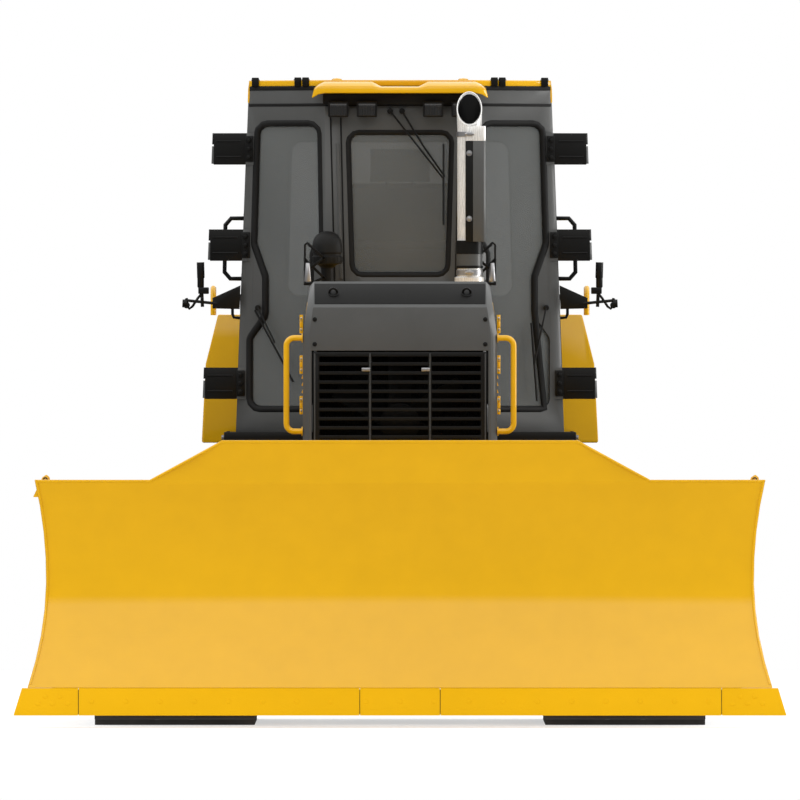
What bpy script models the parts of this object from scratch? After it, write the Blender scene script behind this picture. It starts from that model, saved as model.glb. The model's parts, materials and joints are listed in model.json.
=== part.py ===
"""Crawler dozer with a power-angle-tilt blade and an enclosed cab.

Metres, +Z up, front towards -Y, +X on the machine's left. Z = 0 is the ground
under the grousers and the origin is at the middle of the overall length.
All pieces are drawn about the middle of the tracks (y = 0) and hang from one
empty that moves them to that origin.
"""

import math

import bmesh
import bpy
from mathutils import Matrix, Vector

# ---------------------------------------------------------------- clearances
TOUCH = 0.0005  # left between pieces that rest on each other
SWING = 0.006  # left around doors and other moving panels
PIN_PLAY = 0.0006  # between a pin and the eye round it

# ------------------------------------------------------------- undercarriage
GAUGE = 2.0
SHOE_WIDTH = 0.71
SHOE_THICKNESS = 0.014
SHOE_COUNT = 42
GROUSER_HEIGHT = 0.045
GROUSER_THICKNESS = 0.022
LINK_HEIGHT = 0.09
LINK_INNER = 0.045
LINK_OUTER = 0.095
WHEEL_RADIUS = 0.30  # idler and sprocket, out to the rail of the links
IDLER_REACH = 1.40
SPROCKET_REACH = 1.45
SPROCKET_RAISE = 0.03
SPROCKET_TEETH = 13
ROLLER_RADIUS = 0.088
ROLLER_COUNT = 7
LAST_ROLLER_REACH = 1.07
CARRIER_REACH = 0.10
CARRIER_RAISE = 0.02
FRAME_BEAM_HALF = 0.118
FRAME_PLATE = 0.02

# ---------------------------------------------------------------- main frame
HULL_HALF = 0.42
HULL_WALL = 0.06
BELLY_Z = 0.42
HULL_TOP_Z = 0.90
HULL_FRONT = -1.40
HULL_REAR = 1.75
HITCH_REACH = 2.05
HITCH_HALF = 0.12
HITCH_HEIGHTS = (0.50, 0.62)
HITCH_BLOCK = 0.03  # how deep the hitch's block sits in the hull's rear face
ENGINE_BOTTOM_Z = 0.68
TRUNNION_Y = -0.40
TRUNNION_Z = 0.45
TRUNNION_RADIUS = 0.04

# ---------------------------------------------------------------------- hood
HOOD_HALF = 0.431
HOOD_SHOULDER_Z = 1.73
HOOD_TOP_HALF = 0.400
HOOD_TOP_Z = 1.969
HOOD_BOTTOM_Z = 0.95
HOOD_SKIN = 0.022
HANDRAIL_STANDOFF = 0.073
HANDRAIL_HEIGHTS = (1.304, 1.718)
HANDRAIL_BEND = 0.035
HANDRAIL_RADIUS = 0.013
HOOD_FRONT = -1.62
HOOD_SPLIT = -1.385
NOSE_BAND_Z = 1.854
NOSE_BAND_DEPTH = 0.12
GRILLE_HALF = 0.392
GRILLE_BOTTOM_Z = 0.99
GRILLE_TOP_Z = 1.662
SLAT_PITCH = 0.0405
SLAT_HEIGHT = 0.015
GRILLE_BAR_X = 0.133
ENGINE_DOOR_BOTTOM_Z = 1.32
ENGINE_DOOR_TOP_Z = 1.88
ENGINE_DOOR_REAR = -0.30
FAN_RADIUS = 0.32
FAN_Z = 1.34

# ----------------------------------------------------------------------- cab
CAB_BASE_Z = 1.31
CAB_TOP_Z = 2.757
CAB_BASE_HALF = 0.735
CAB_TOP_HALF = 0.681
CAB_WALL = 0.05
CAB_FRONT = -0.20
CAB_REAR = 1.12
FACET_HALF = 0.335  # half-width of the flat centre of the cab's front
FACET_SLOPE = 0.70  # how fast the side facets fall back
DECK_Z = 1.30
DECK_HALF = 0.788
DECK_THICKNESS = 0.05
FASCIA_TOP_Z = 2.847
ROOF_TOP_Z = 2.875
ROOF_LUG_TOP_Z = 2.887
ROOF_LUGS = ((0.648, 0.031), (0.440, 0.066))  # distance out and width of each lug
ROOF_LUG_DEPTH = 0.05
DOOR_FRONT = 0.17
DOOR_REAR = 0.98
DOOR_BOTTOM_Z = 1.38
DOOR_TOP_Z = 2.69
DOOR_REAR_GAP = 0.018
DOOR_FRAME = 0.075
HINGE_HALF_AT_BASE = 0.868
HINGE_Y = 0.10
HINGE_HEIGHTS = (1.518, 2.137, 2.568)
HINGE_PLATE_HEIGHT = 0.141
GLASS = 0.006

# --------------------------------------------------------------------- blade
BLADE_TOP_Z = 1.266
BLADE_SHOULDER_Z = 1.092
BLADE_BOTTOM_Z = 0.054
EDGE_TOP_Z = 0.175
CREASE_Z = 0.254
BLADE_TOP_HALF = 0.783
BLADE_SHOULDER_HALF = 1.102
BLADE_WAIST_HALF = 1.560
BLADE_WAIST_Z = 0.66
BLADE_SPREAD_UP = 0.27
BLADE_SPREAD_DOWN = 0.345
END_BIT_TOP_HALF = 1.662
END_BIT_BOTTOM_HALF = 1.705
CURVE_RADIUS = 0.95
CURVE_CENTRE_Z = 0.70
MOLDBOARD = 0.02
EDGE_THICKNESS = 0.025

# ---------------------------------------------------------------- push frame
LIFT_X = 0.545  # the lift cylinders stand over the middle of the arms
ARM_WIDTH = 0.11
ARM_INNER = LIFT_X - ARM_WIDTH / 2
ARM_OUTER = LIFT_X + ARM_WIDTH / 2
ARM_BOTTOM_Z = 0.38
ARM_TOP_Z = 0.52
BEAM_REAR = -1.93
BEAM_FRONT = -2.06
ANGLE_PIVOT_Y = -2.24
ANGLE_PIN_RADIUS = 0.045
YOKE_WING_HALF = 0.60
YOKE_WING_Z = 0.53  # clears the beam's top as the yoke turns
YOKE_WING_DROP = 0.02  # how far the wings reach ahead of the web, for the drifting rod eyes
FORK_RADIUS = 0.09
YOKE_REAR = -2.36
YOKE_FRONT = -2.42
TILT_Z = 0.46
TILT_PIN_RADIUS = 0.05
CYLINDER_PIN_RADIUS = 0.022
CURVE_BACK_Y = -2.54  # front face of the moldboard where it is deepest

# ----------------------------------------------------------------- cylinders
CYLINDER_RADIUS = 0.042
ROD_RADIUS = 0.022
EYE_RADIUS = 0.045
LIFT_TOP = (-0.95, 1.21)
LIFT_FOOT = (-0.92, 0.60)
ANGLE_TAIL = (0.52, -1.30)
ANGLE_EYE = (0.53, -2.36)
ANGLE_Z = 0.62
TILT_TAIL = (-0.36, 0.90)
TILT_EYE = (0.36, 0.92)
TILT_Y = -2.468

SIDES = (("left", 1), ("right", -1))
ROUND = 16

# ------------------------------------------------------------------ materials
YELLOW = ("machine_yellow", (0.79, 0.42, 0.012), 0.38, 0.0)
DARK = ("dark_grey", (0.072, 0.075, 0.075), 0.5, 0.0)
BLACK = ("black_plastic", (0.012, 0.012, 0.013), 0.55, 0.0)
STEEL = ("track_steel", (0.10, 0.095, 0.09), 0.5, 0.7)
EXHAUST = ("exhaust_steel", (0.62, 0.60, 0.57), 0.25, 1.0)
CHROME = ("rod_chrome", (0.75, 0.76, 0.78), 0.12, 1.0)
PANE = ("tinted_glass", (0.30, 0.33, 0.33), 0.05, 0.0)
FABRIC = ("seat_fabric", (0.03, 0.03, 0.032), 0.85, 0.0)


def clear_scene():
    for item in list(bpy.data.objects):
        bpy.data.objects.remove(item, do_unlink=True)


def material(spec):
    name, colour, roughness, metallic = spec
    found = bpy.data.materials.get(name)
    if found:
        return found
    made = bpy.data.materials.new(name)
    made.use_nodes = True
    shader = made.node_tree.nodes["Principled BSDF"]
    shader.inputs["Base Color"].default_value = (*colour, 1.0)
    shader.inputs["Roughness"].default_value = roughness
    shader.inputs["Metallic"].default_value = metallic
    return made


# ------------------------------------------------------------ shape building
def solid(name, points, faces, spec=DARK):
    """A closed mesh object from corner points and faces."""
    mesh = bpy.data.meshes.new(name)
    shape = bmesh.new()
    corners = [shape.verts.new(point) for point in points]
    for face in faces:
        shape.faces.new([corners[index] for index in face])
    bmesh.ops.recalc_face_normals(shape, faces=shape.faces)
    shape.to_mesh(mesh)
    shape.free()
    mesh.materials.append(material(spec))
    made = bpy.data.objects.new(name, mesh)
    bpy.context.collection.objects.link(made)
    return made


def along(axis, u, v, w):
    """The point with w along the axis and u, v across it."""
    return {"X": (w, u, v), "Y": (u, w, v), "Z": (u, v, w)}[axis]


def prism(name, outline, axis, low, high, spec=DARK):
    """An outline drawn across an axis, pushed from low to high along it."""
    count = len(outline)
    points = [along(axis, u, v, low) for u, v in outline]
    points += [along(axis, u, v, high) for u, v in outline]
    faces = [list(range(count)), list(range(count, 2 * count))]
    for i in range(count):
        j = (i + 1) % count
        faces.append([i, j, count + j, count + i])
    return solid(name, points, faces, spec)


def box(name, x, y, z, spec=DARK):
    outline = [(x[0], y[0]), (x[1], y[0]), (x[1], y[1]), (x[0], y[1])]
    return prism(name, outline, "Z", z[0], z[1], spec)


def side_box(name, side, x, y, z, spec=DARK):
    """A box given by its distances from the centre line, on one side."""
    return box(name, sorted((side * x[0], side * x[1])), y, z, spec)


def circle(u, v, radius, count=ROUND, start=0.0, sweep=2 * math.pi):
    """Points round a circle, or along an arc when the sweep is less than a turn."""
    closed = sweep >= 2 * math.pi - 1e-9
    steps = count if closed else count - 1
    angles = [start + sweep * i / steps for i in range(count)]
    return [(u + radius * math.cos(a), v + radius * math.sin(a)) for a in angles]


def rod(name, start, end, radius, spec=DARK, count=ROUND):
    """A round bar between two points."""
    start = Vector(start)
    end = Vector(end)
    made = prism(name, circle(0, 0, radius, count), "Z", 0, (end - start).length, spec)
    turn = (end - start).to_track_quat("Z", "Y").to_matrix().to_4x4()
    made.data.transform(Matrix.Translation(start) @ turn)
    return made


def bore(name, start, end, pin_radius):
    """A cutter for the hole round a pin, wide enough that its flats clear the pin as it turns."""
    return rod(name, start, end, (pin_radius + PIN_PLAY) / math.cos(math.pi / ROUND))


def turned(name, profile, centre, axis, spec=DARK, count=ROUND):
    """A turned solid: the profile gives (radius, place along the axis) pairs."""
    points = []
    faces = []
    for radius, place in profile:
        ring = circle(0, 0, radius, count)
        points += [along(axis, u, v, place) for u, v in ring]
    for r in range(len(profile) - 1):
        for i in range(count):
            j = (i + 1) % count
            faces.append([r * count + i, r * count + j, (r + 1) * count + j, (r + 1) * count + i])
    faces.append(list(range(count)))
    faces.append(list(range((len(profile) - 1) * count, len(profile) * count)))
    made = solid(name, points, faces, spec)
    made.data.transform(Matrix.Translation(centre))
    return made


def combine(target, others, operation):
    for other in others:
        step = target.modifiers.new(operation.lower(), "BOOLEAN")
        step.operation = operation
        step.object = other
    bpy.context.view_layer.update()
    graph = bpy.context.evaluated_depsgraph_get()
    finish = target.data.materials[0]
    mesh = bpy.data.meshes.new_from_object(target.evaluated_get(graph))
    mesh.materials.clear()
    mesh.materials.append(finish)
    target.modifiers.clear()
    target.data = mesh
    for other in others:
        bpy.data.objects.remove(other, do_unlink=True)
    return target


def join(target, *others):
    return combine(target, others, "UNION")


def cut(target, *others):
    return combine(target, others, "DIFFERENCE")


def keep_within(target, other):
    return combine(target, [other], "INTERSECT")


def reshape(target, rule):
    """Moves every corner of a mesh by a rule."""
    for corner in target.data.vertices:
        corner.co = rule(corner.co.copy())
    target.data.update()
    return target


def smooth(target, angle=30):
    target.data.shade_smooth()
    target.data.set_sharp_from_angle(angle=math.radians(angle))
    return target


def hull(points):
    """The outline round a set of points, counterclockwise."""
    ordered = sorted(set((round(u, 7), round(v, 7)) for u, v in points))

    def half(sequence):
        chain = []
        for point in sequence:
            while len(chain) > 1 and turn(chain[-2], chain[-1], point) <= 0:
                chain.pop()
            chain.append(point)
        return chain[:-1]

    def turn(a, b, c):
        return (b[0] - a[0]) * (c[1] - a[1]) - (b[1] - a[1]) * (c[0] - a[0])

    return half(ordered) + half(ordered[::-1])


def hang(name, place, pieces, parent):
    """An empty on a joint's axis, and the pieces that turn or slide with it."""
    pivot = bpy.data.objects.new(name, None)
    bpy.context.collection.objects.link(pivot)
    offset = Vector(place)
    pivot.parent = parent
    pivot.location = offset - world_place(parent)
    pivot["place"] = tuple(offset)
    for made in pieces:
        made.data.transform(Matrix.Translation(-offset))
        made.parent = pivot
    return pivot


def world_place(pivot):
    return Vector(pivot["place"]) if pivot else Vector((0, 0, 0))


# --------------------------------------------------------------- undercarriage
def belt_circles():
    """(y, z, radius) of what the links run round, all out to their rail."""
    wheel_z = track_depth() + WHEEL_RADIUS
    roller_z = track_depth() + ROLLER_RADIUS
    carrier_z = wheel_z + WHEEL_RADIUS + CARRIER_RAISE - ROLLER_RADIUS
    return {
        "idler": (-IDLER_REACH, wheel_z, WHEEL_RADIUS),
        "sprocket": (SPROCKET_REACH, wheel_z + SPROCKET_RAISE, WHEEL_RADIUS),
        "first": (-LAST_ROLLER_REACH, roller_z, ROLLER_RADIUS),
        "last": (LAST_ROLLER_REACH, roller_z, ROLLER_RADIUS),
        "carrier": (CARRIER_REACH, carrier_z, ROLLER_RADIUS),
    }


def track_depth():
    return LINK_HEIGHT + SHOE_THICKNESS + GROUSER_HEIGHT


def belt(distance, count=16):
    """The outline of the belt at a distance outside the rail of the links."""
    points = []
    for y, z, radius in belt_circles().values():
        points += circle(y, z, radius + distance, count)
    return hull(points)


def resample(outline, count):
    """Points at equal steps along a closed outline."""
    corners = [Vector(point) for point in outline]
    sides = [(corners[(i + 1) % len(corners)] - corners[i]) for i in range(len(corners))]
    total = sum(side.length for side in sides)
    made = []
    index = 0
    passed = 0.0
    for step in range(count):
        wanted = total * step / count
        while passed + sides[index].length < wanted:
            passed += sides[index].length
            index += 1
        made.append(corners[index] + sides[index].normalized() * (wanted - passed))
    return made


def shoe_outline():
    """The outside of the shoes, each one a flat plate with one grouser."""
    base = resample(belt(LINK_HEIGHT + SHOE_THICKNESS, 72), SHOE_COUNT)
    outline = []
    for i, start in enumerate(base):
        end = base[(i + 1) % SHOE_COUNT]
        along_shoe = (end - start).normalized()
        outward = Vector((along_shoe.y, -along_shoe.x))
        foot = (start + end) / 2 - along_shoe * GROUSER_THICKNESS / 2
        toe = foot + along_shoe * GROUSER_THICKNESS
        outline += [start, foot, foot + outward * GROUSER_HEIGHT]
        outline += [toe + outward * GROUSER_HEIGHT, toe]
    return [tuple(point) for point in outline]


def build_track(name, side):
    """One fixed loop: the shoes with their grousers, and the two rows of links inside."""
    centre = side * GAUGE / 2
    low = centre - SHOE_WIDTH / 2
    high = centre + SHOE_WIDTH / 2
    track = prism(name, shoe_outline(), "X", low, high, STEEL)
    cut(track, prism("inside", belt(LINK_HEIGHT), "X", low - 0.1, high + 0.1))
    rows = []
    for inner, outer in ((-LINK_OUTER, -LINK_INNER), (LINK_INNER, LINK_OUTER)):
        row = prism("links", belt(LINK_HEIGHT + SHOE_THICKNESS / 2), "X", centre + inner, centre + outer)
        cut(row, prism("inside", belt(0), "X", centre + inner - 0.1, centre + outer + 0.1))
        rows.append(row)
    return smooth(join(track, *rows))


def build_sprocket(name, side):
    """The toothed ring between the links and the drive's hub outside it."""
    y, z, radius = belt_circles()["sprocket"]
    centre = side * GAUGE / 2
    outline = []
    for tooth in range(SPROCKET_TEETH):
        for share, reach in ((0.0, 0.97), (0.3, 0.97), (0.45, 1.1), (0.75, 1.1)):
            angle = 2 * math.pi * (tooth + share) / SPROCKET_TEETH
            outline.append((y + radius * reach * math.cos(angle), z + radius * reach * math.sin(angle)))
    half = LINK_INNER - 0.012
    ring = prism(name, outline, "X", centre - half, centre + half, YELLOW)
    hub = [(0.215, 0.0), (0.215, 0.08), (0.17, 0.125), (0.10, 0.14)]
    profile = [(r, centre + side * p) for r, p in hub]
    return smooth(join(ring, turned("hub", profile, (0, y, z), "X")))


def build_track_frame(name, side):
    """The beam with its rollers, the carrier roller, and the idler in its fork."""
    centre = side * GAUGE / 2
    circles = belt_circles()
    idler_y, idler_z, idler_radius = circles["idler"]
    roller_z = circles["first"][1]
    beam_low = roller_z + ROLLER_RADIUS + 0.015
    half = FRAME_BEAM_HALF
    front = idler_y + idler_radius + 0.04
    beam = box(name, (centre - half, centre + half), (front, 1.02), (beam_low, beam_low + 0.2), YELLOW)
    parts = []
    for edge in (-1, 1):
        inner = centre + edge * half
        outer = centre + edge * (half + FRAME_PLATE)
        x = sorted((inner - edge * 0.001, outer))
        parts.append(box("plate", x, (-1.16, 1.16), (roller_z - 0.03, beam_low + 0.2)))
        parts.append(box("fork", x, (idler_y - 0.07, front + 0.1), (idler_z - 0.07, idler_z + 0.07)))
    step = 2 * LAST_ROLLER_REACH / (ROLLER_COUNT - 1)
    for i in range(ROLLER_COUNT):
        place = -LAST_ROLLER_REACH + i * step
        parts.append(roller(centre, place, roller_z, half))
    carrier_y, carrier_z = circles["carrier"][:2]
    parts.append(box("post", (centre - 0.03, centre + 0.03), (carrier_y - 0.05, carrier_y + 0.05),
                     (beam_low + 0.15, carrier_z)))
    parts.append(roller(centre, carrier_y, carrier_z, LINK_OUTER))
    parts.append(idler(centre, idler_y, idler_z, idler_radius, half))
    return smooth(join(beam, *parts))


def roller(centre, y, z, half):
    tread = ROLLER_RADIUS - 0.0015
    return rod("roller", (centre - half - 0.003, y, z), (centre + half + 0.003, y, z), tread, count=12)


def idler(centre, y, z, radius, half):
    tread = radius - 0.006
    profile = [(0.05, centre - half - 0.01), (0.05, centre - 0.07), (tread - 0.07, centre - 0.05)]
    profile += [(tread - 0.03, centre - LINK_OUTER), (tread, centre - LINK_OUTER)]
    profile += [(tread, centre + LINK_OUTER), (tread - 0.03, centre + LINK_OUTER)]
    profile += [(tread - 0.07, centre + 0.05), (0.05, centre + 0.07), (0.05, centre + half + 0.01)]
    return turned("idler", profile, (0, y, z), "X", count=24)


# ------------------------------------------------------------------ main frame
def build_main_frame():
    """The hull, its cross members, the push frame's trunnions and the drive housings."""
    hull_box = box("main_frame", (-HULL_HALF, HULL_HALF), (HULL_FRONT, HULL_REAR), (BELLY_Z, HULL_TOP_Z),
                   DARK)
    trough = HULL_HALF - HULL_WALL
    cut(hull_box, box("bay", (-trough, trough), (HULL_FRONT + 0.06, -0.25), (BELLY_Z + 0.04, 1.5)))
    parts = [box("case", (-0.40, 0.40), (-0.20, 1.15), (0.85, DECK_Z - DECK_THICKNESS - TOUCH))]
    for place in (-1.05, -0.45):
        parts.append(box("mount", (-trough - 0.01, trough + 0.01), (place - 0.04, place + 0.04),
                         (0.55, ENGINE_BOTTOM_Z - TOUCH)))
    reach = GAUGE / 2 - FRAME_BEAM_HALF - FRAME_PLATE - TOUCH
    parts.append(box("crossbar", (-reach, reach), (-0.20, -0.06), (0.44, 0.54)))
    parts.append(rod("pivot", (-reach, 0.80, 0.49), (reach, 0.80, 0.49), 0.06))
    for side in (1, -1):
        parts.append(rod("trunnion", (side * 0.38, TRUNNION_Y, TRUNNION_Z),
                         (side * (ARM_OUTER + 0.015), TRUNNION_Y, TRUNNION_Z), TRUNNION_RADIUS))
    join(hull_box, *parts)
    return smooth(cut(hull_box, hitch_block("pocket", 2 * TOUCH)))


def build_final_drive(name, side):
    """The round housing between the hull and a sprocket."""
    y, z = belt_circles()["sprocket"][:2]
    inner = side * (HULL_HALF + TOUCH)
    outer = side * (GAUGE / 2 - LINK_INNER - 0.002)
    return smooth(rod(name, (inner, y, z), (outer, y, z), 0.20, DARK, 24))


def hitch_block(name, room=0.0):
    """The block let into the hull's rear face, or with some room its pocket."""
    half = HITCH_HALF + room
    low, high = HITCH_HEIGHTS
    rear = HULL_REAR + (0.01 if room else 0.0)
    heights = (low - 0.05 - room, high + 0.05 + room)
    return box(name, (-half, half), (HULL_REAR - HITCH_BLOCK - room, rear), heights)


def build_hitch():
    """The drawbar's two plates on their block in the hull."""
    low, high = HITCH_HEIGHTS
    block = hitch_block("hitch")
    plates = []
    for z in HITCH_HEIGHTS:
        outline = [(-HITCH_HALF, HULL_REAR - 0.01), (HITCH_HALF, HULL_REAR - 0.01)]
        outline += circle(0, HITCH_REACH - 0.09, 0.09, 13, 0, math.pi)
        plates.append(prism("plate", outline, "Z", z - 0.02, z + 0.02))
    join(block, *plates)
    hole = rod("pin_hole", (0, HITCH_REACH - 0.09, low - 0.1), (0, HITCH_REACH - 0.09, high + 0.1), 0.03)
    return smooth(cut(block, hole))


def build_lift_bracket(name, side):
    """The upright beside the hull that a lift cylinder hangs from, with its pin."""
    y, z = LIFT_TOP
    depth = (y - 0.07, y + 0.07)
    upright = side_box(name, side, (HOOD_HALF + 0.005, ARM_INNER - 0.01), depth, (0.58, z + 0.05), DARK)
    foot = side_box("foot", side, (HULL_HALF + TOUCH, HOOD_HALF + 0.02), depth, (0.58, 0.88))
    pin_ends = ((side * (ARM_INNER - 0.03), y, z), (side * (ARM_OUTER - 0.005), y, z))
    pin = rod("pin", *pin_ends, CYLINDER_PIN_RADIUS)
    return smooth(join(upright, foot, pin))


def build_engine():
    """The engine as one plain block on its two mounts."""
    return box("engine", (-0.28, 0.28), (-1.18, -0.28), (ENGINE_BOTTOM_Z, 1.60), STEEL)


def build_radiator():
    """The cooling pack across the nose, with the fan's drive in front of it."""
    core = box("radiator", (-0.37, 0.37), (-1.37, -1.27), (HOOD_BOTTOM_Z + 0.01, 1.80), BLACK)
    drive = rod("drive", (0, -1.30, FAN_Z), (0, -1.42, FAN_Z), 0.07, count=16)
    return smooth(join(core, drive))


def build_fan():
    """Six pitched blades on a hub, in front of the radiator."""
    hub = rod("fan", (0, -1.426, FAN_Z), (0, -1.52, FAN_Z), 0.09, BLACK)
    blades = []
    for i in range(6):
        blade = box("blade", (-0.062, 0.062), (-0.004, 0.004), (0.07, FAN_RADIUS))
        pitch = Matrix.Rotation(math.radians(32), 4, "Z")
        spin = Matrix.Rotation(math.radians(60 * i), 4, "Y")
        blade.data.transform(Matrix.Translation((0, -1.472, FAN_Z)) @ spin @ pitch)
        blades.append(blade)
    return smooth(join(hub, *blades))


# ------------------------------------------------------------------------ hood
def hood_section(inset=0.0, bottom=HOOD_BOTTOM_Z):
    """The hood's outline across the machine, upright to the shoulders and leaning in above."""
    side = HOOD_HALF - inset
    top = HOOD_TOP_HALF - inset
    high = HOOD_TOP_Z - inset
    right = [(side, bottom), (side, HOOD_SHOULDER_Z), (top, high - 0.02), (top - 0.02, high)]
    return right + [(-x, z) for x, z in reversed(right)]


def hood_half(z):
    lean = (HOOD_HALF - HOOD_TOP_HALF) / (HOOD_TOP_Z - HOOD_SHOULDER_Z)
    return HOOD_HALF - max(0.0, z - HOOD_SHOULDER_Z) * lean


def build_hood():
    """The hood over the engine, open below and at both ends, with an opening for each engine door."""
    hood = prism("hood", hood_section(), "Y", HOOD_SPLIT + TOUCH, CAB_FRONT - 0.01, YELLOW)
    cut(hood, prism("inside", hood_section(HOOD_SKIN, HOOD_BOTTOM_Z - 0.1), "Y", HOOD_SPLIT - 0.1, 0.2))
    opening = box("opening", (-0.6, 0.6), (HOOD_SPLIT + 0.03 - SWING, ENGINE_DOOR_REAR + SWING),
                  (ENGINE_DOOR_BOTTOM_Z - SWING, ENGINE_DOOR_TOP_Z + SWING))
    return smooth(cut(hood, opening))


def build_engine_door(name, side):
    """A side panel of the hood, bent at the shoulder like the hood beside it."""
    low = ENGINE_DOOR_BOTTOM_Z
    high = ENGINE_DOOR_TOP_Z
    outline = [(HOOD_HALF, low), (HOOD_HALF, HOOD_SHOULDER_Z), (hood_half(high), high)]
    outline += [(hood_half(high) - HOOD_SKIN, high), (HOOD_HALF - HOOD_SKIN, HOOD_SHOULDER_Z - 0.003)]
    outline += [(HOOD_HALF - HOOD_SKIN, low)]
    outline = [(side * x, z) for x, z in outline]
    return smooth(prism(name, outline, "Y", HOOD_SPLIT + 0.03, ENGINE_DOOR_REAR, YELLOW))


def build_hood_front():
    """The dark nose: sloped band, blank panel and the surround of the grille."""
    nose = prism("hood_front", hood_section(), "Y", HOOD_FRONT, HOOD_SPLIT, DARK)
    slope = [(HOOD_FRONT - 0.1, NOSE_BAND_Z), (HOOD_FRONT, NOSE_BAND_Z)]
    slope += [(HOOD_FRONT + NOSE_BAND_DEPTH, HOOD_TOP_Z), (HOOD_FRONT + NOSE_BAND_DEPTH, HOOD_TOP_Z + 0.1)]
    slope += [(HOOD_FRONT - 0.1, HOOD_TOP_Z + 0.1)]
    inner = GRILLE_HALF
    bay = [(HOOD_FRONT + 0.02, HOOD_BOTTOM_Z + 0.03), (HOOD_SPLIT + 0.1, HOOD_BOTTOM_Z + 0.03)]
    bay += [(HOOD_SPLIT + 0.1, HOOD_TOP_Z - HOOD_SKIN)]
    bay += [(HOOD_FRONT + NOSE_BAND_DEPTH + 0.01, HOOD_TOP_Z - HOOD_SKIN)]
    bay += [(HOOD_FRONT + 0.02, NOSE_BAND_Z - 0.005)]
    cut(nose, prism("slope", slope, "X", -0.6, 0.6), prism("bay", bay, "X", -inner, inner))
    mouth = box("mouth", (-inner, inner), (HOOD_FRONT - 0.1, HOOD_FRONT + 0.1),
                (GRILLE_BOTTOM_Z, GRILLE_TOP_Z))
    return smooth(cut(nose, mouth))


def build_grille_door():
    """The hinged grille: a frame with two upright bars and flat slats."""
    half = GRILLE_HALF - SWING
    low = GRILLE_BOTTOM_Z + SWING
    high = GRILLE_TOP_Z - SWING
    door = box("grille_door", (-half, half), (HOOD_FRONT + 0.006, HOOD_FRONT + 0.036), (low, high), BLACK)
    rows = int((high - low - 0.03) / SLAT_PITCH)
    edges = (-half + 0.028, -GRILLE_BAR_X - 0.008, -GRILLE_BAR_X + 0.008, GRILLE_BAR_X - 0.008,
             GRILLE_BAR_X + 0.008, half - 0.028)
    gaps = []
    for row in range(rows):
        top = high - 0.02 - row * SLAT_PITCH
        for i in (0, 2, 4):
            gaps.append(box("gap", (edges[i], edges[i + 1]), (HOOD_FRONT - 0.1, HOOD_FRONT + 0.1),
                            (top - SLAT_PITCH + SLAT_HEIGHT, top)))
    return cut(door, *gaps)


def build_exhaust():
    """The stack on the hood with its slanted outlet."""
    x, y, radius = 0.31, -0.46, 0.0565
    stack = rod("exhaust_stack", (x, y, HOOD_TOP_Z + TOUCH), (x, y, 2.82), radius, EXHAUST)
    inside = rod("inside", (x, y, 2.60), (x, y, 2.9), radius - 0.005)
    wedge = [(y - 0.2, 2.66), (y - radius, 2.669), (y + radius, 2.818), (y + 0.2, 3.0), (y - 0.2, 3.0)]
    cut(stack, inside, prism("slant", wedge, "X", x - 0.2, x + 0.2))
    shield = box("shield", (x + 0.062, x + 0.072), (y - 0.05, y + 0.05), (2.15, 2.60))
    stay = box("stay", (x, x + 0.07), (y - 0.015, y + 0.015), (2.22, 2.25))
    return smooth(join(stack, shield, stay))


def build_precleaner():
    """The air intake's dome on the hood."""
    base = HOOD_TOP_Z + TOUCH
    profile = [(0.05, base), (0.05, base + 0.12), (0.068, base + 0.13), (0.068, base + 0.18)]
    profile += [(0.05, base + 0.212), (0.02, base + 0.228)]
    return smooth(turned("precleaner", profile, (-0.325, -0.36, 0), "Z", BLACK))


def build_handrail(name, side):
    """A bent tube on the nose's side, standing off on its two ends."""
    y = HOOD_FRONT + 0.04
    wall = HOOD_HALF + TOUCH
    reach = HOOD_HALF + HANDRAIL_STANDOFF
    bend = HANDRAIL_BEND
    low, high = HANDRAIL_HEIGHTS
    path = [(wall, low)]
    path += circle(reach - bend, low + bend, bend, 5, -math.pi / 2, math.pi / 2)
    path += circle(reach - bend, high - bend, bend, 5, 0, math.pi / 2)
    path += [(wall, high)]
    return tube(name, [(side * x, y, z) for x, z in path], HANDRAIL_RADIUS, YELLOW)


def tube(name, path, radius, spec):
    """A round tube through a list of points, with flat ends."""
    curve = bpy.data.curves.new(name, "CURVE")
    curve.dimensions = "3D"
    curve.bevel_depth = radius
    curve.bevel_resolution = 2
    curve.use_fill_caps = True
    line = curve.splines.new("POLY")
    line.points.add(len(path) - 1)
    for point, place in zip(line.points, path):
        point.co = (*place, 1.0)
    bent = bpy.data.objects.new(name + "_curve", curve)
    bpy.context.collection.objects.link(bent)
    bpy.context.view_layer.update()
    graph = bpy.context.evaluated_depsgraph_get()
    mesh = bpy.data.meshes.new_from_object(bent.evaluated_get(graph))
    bpy.data.objects.remove(bent, do_unlink=True)
    shape = bmesh.new()
    shape.from_mesh(mesh)
    bmesh.ops.remove_doubles(shape, verts=shape.verts, dist=0.00001)
    bmesh.ops.recalc_face_normals(shape, faces=shape.faces)
    shape.to_mesh(mesh)
    shape.free()
    mesh.materials.clear()
    mesh.materials.append(material(spec))
    made = bpy.data.objects.new(name, mesh)
    bpy.context.collection.objects.link(made)
    return smooth(made)


# ------------------------------------------------------------------------- cab
CAB_LEAN = (CAB_BASE_HALF - CAB_TOP_HALF) / (CAB_TOP_Z - CAB_BASE_Z)


def cab_half(z):
    return CAB_BASE_HALF - (z - CAB_BASE_Z) * CAB_LEAN


def cab_plan(z, inset=0.0):
    """The cab's outline at a height: flat centre, two facets falling back, leaning sides."""
    side = cab_half(z) - inset
    front = CAB_FRONT + inset
    corner = front + (side - FACET_HALF) * FACET_SLOPE
    right = [(FACET_HALF, front), (side, corner), (side, CAB_REAR - inset)]
    return right + [(-x, y) for x, y in reversed(right)]


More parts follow.
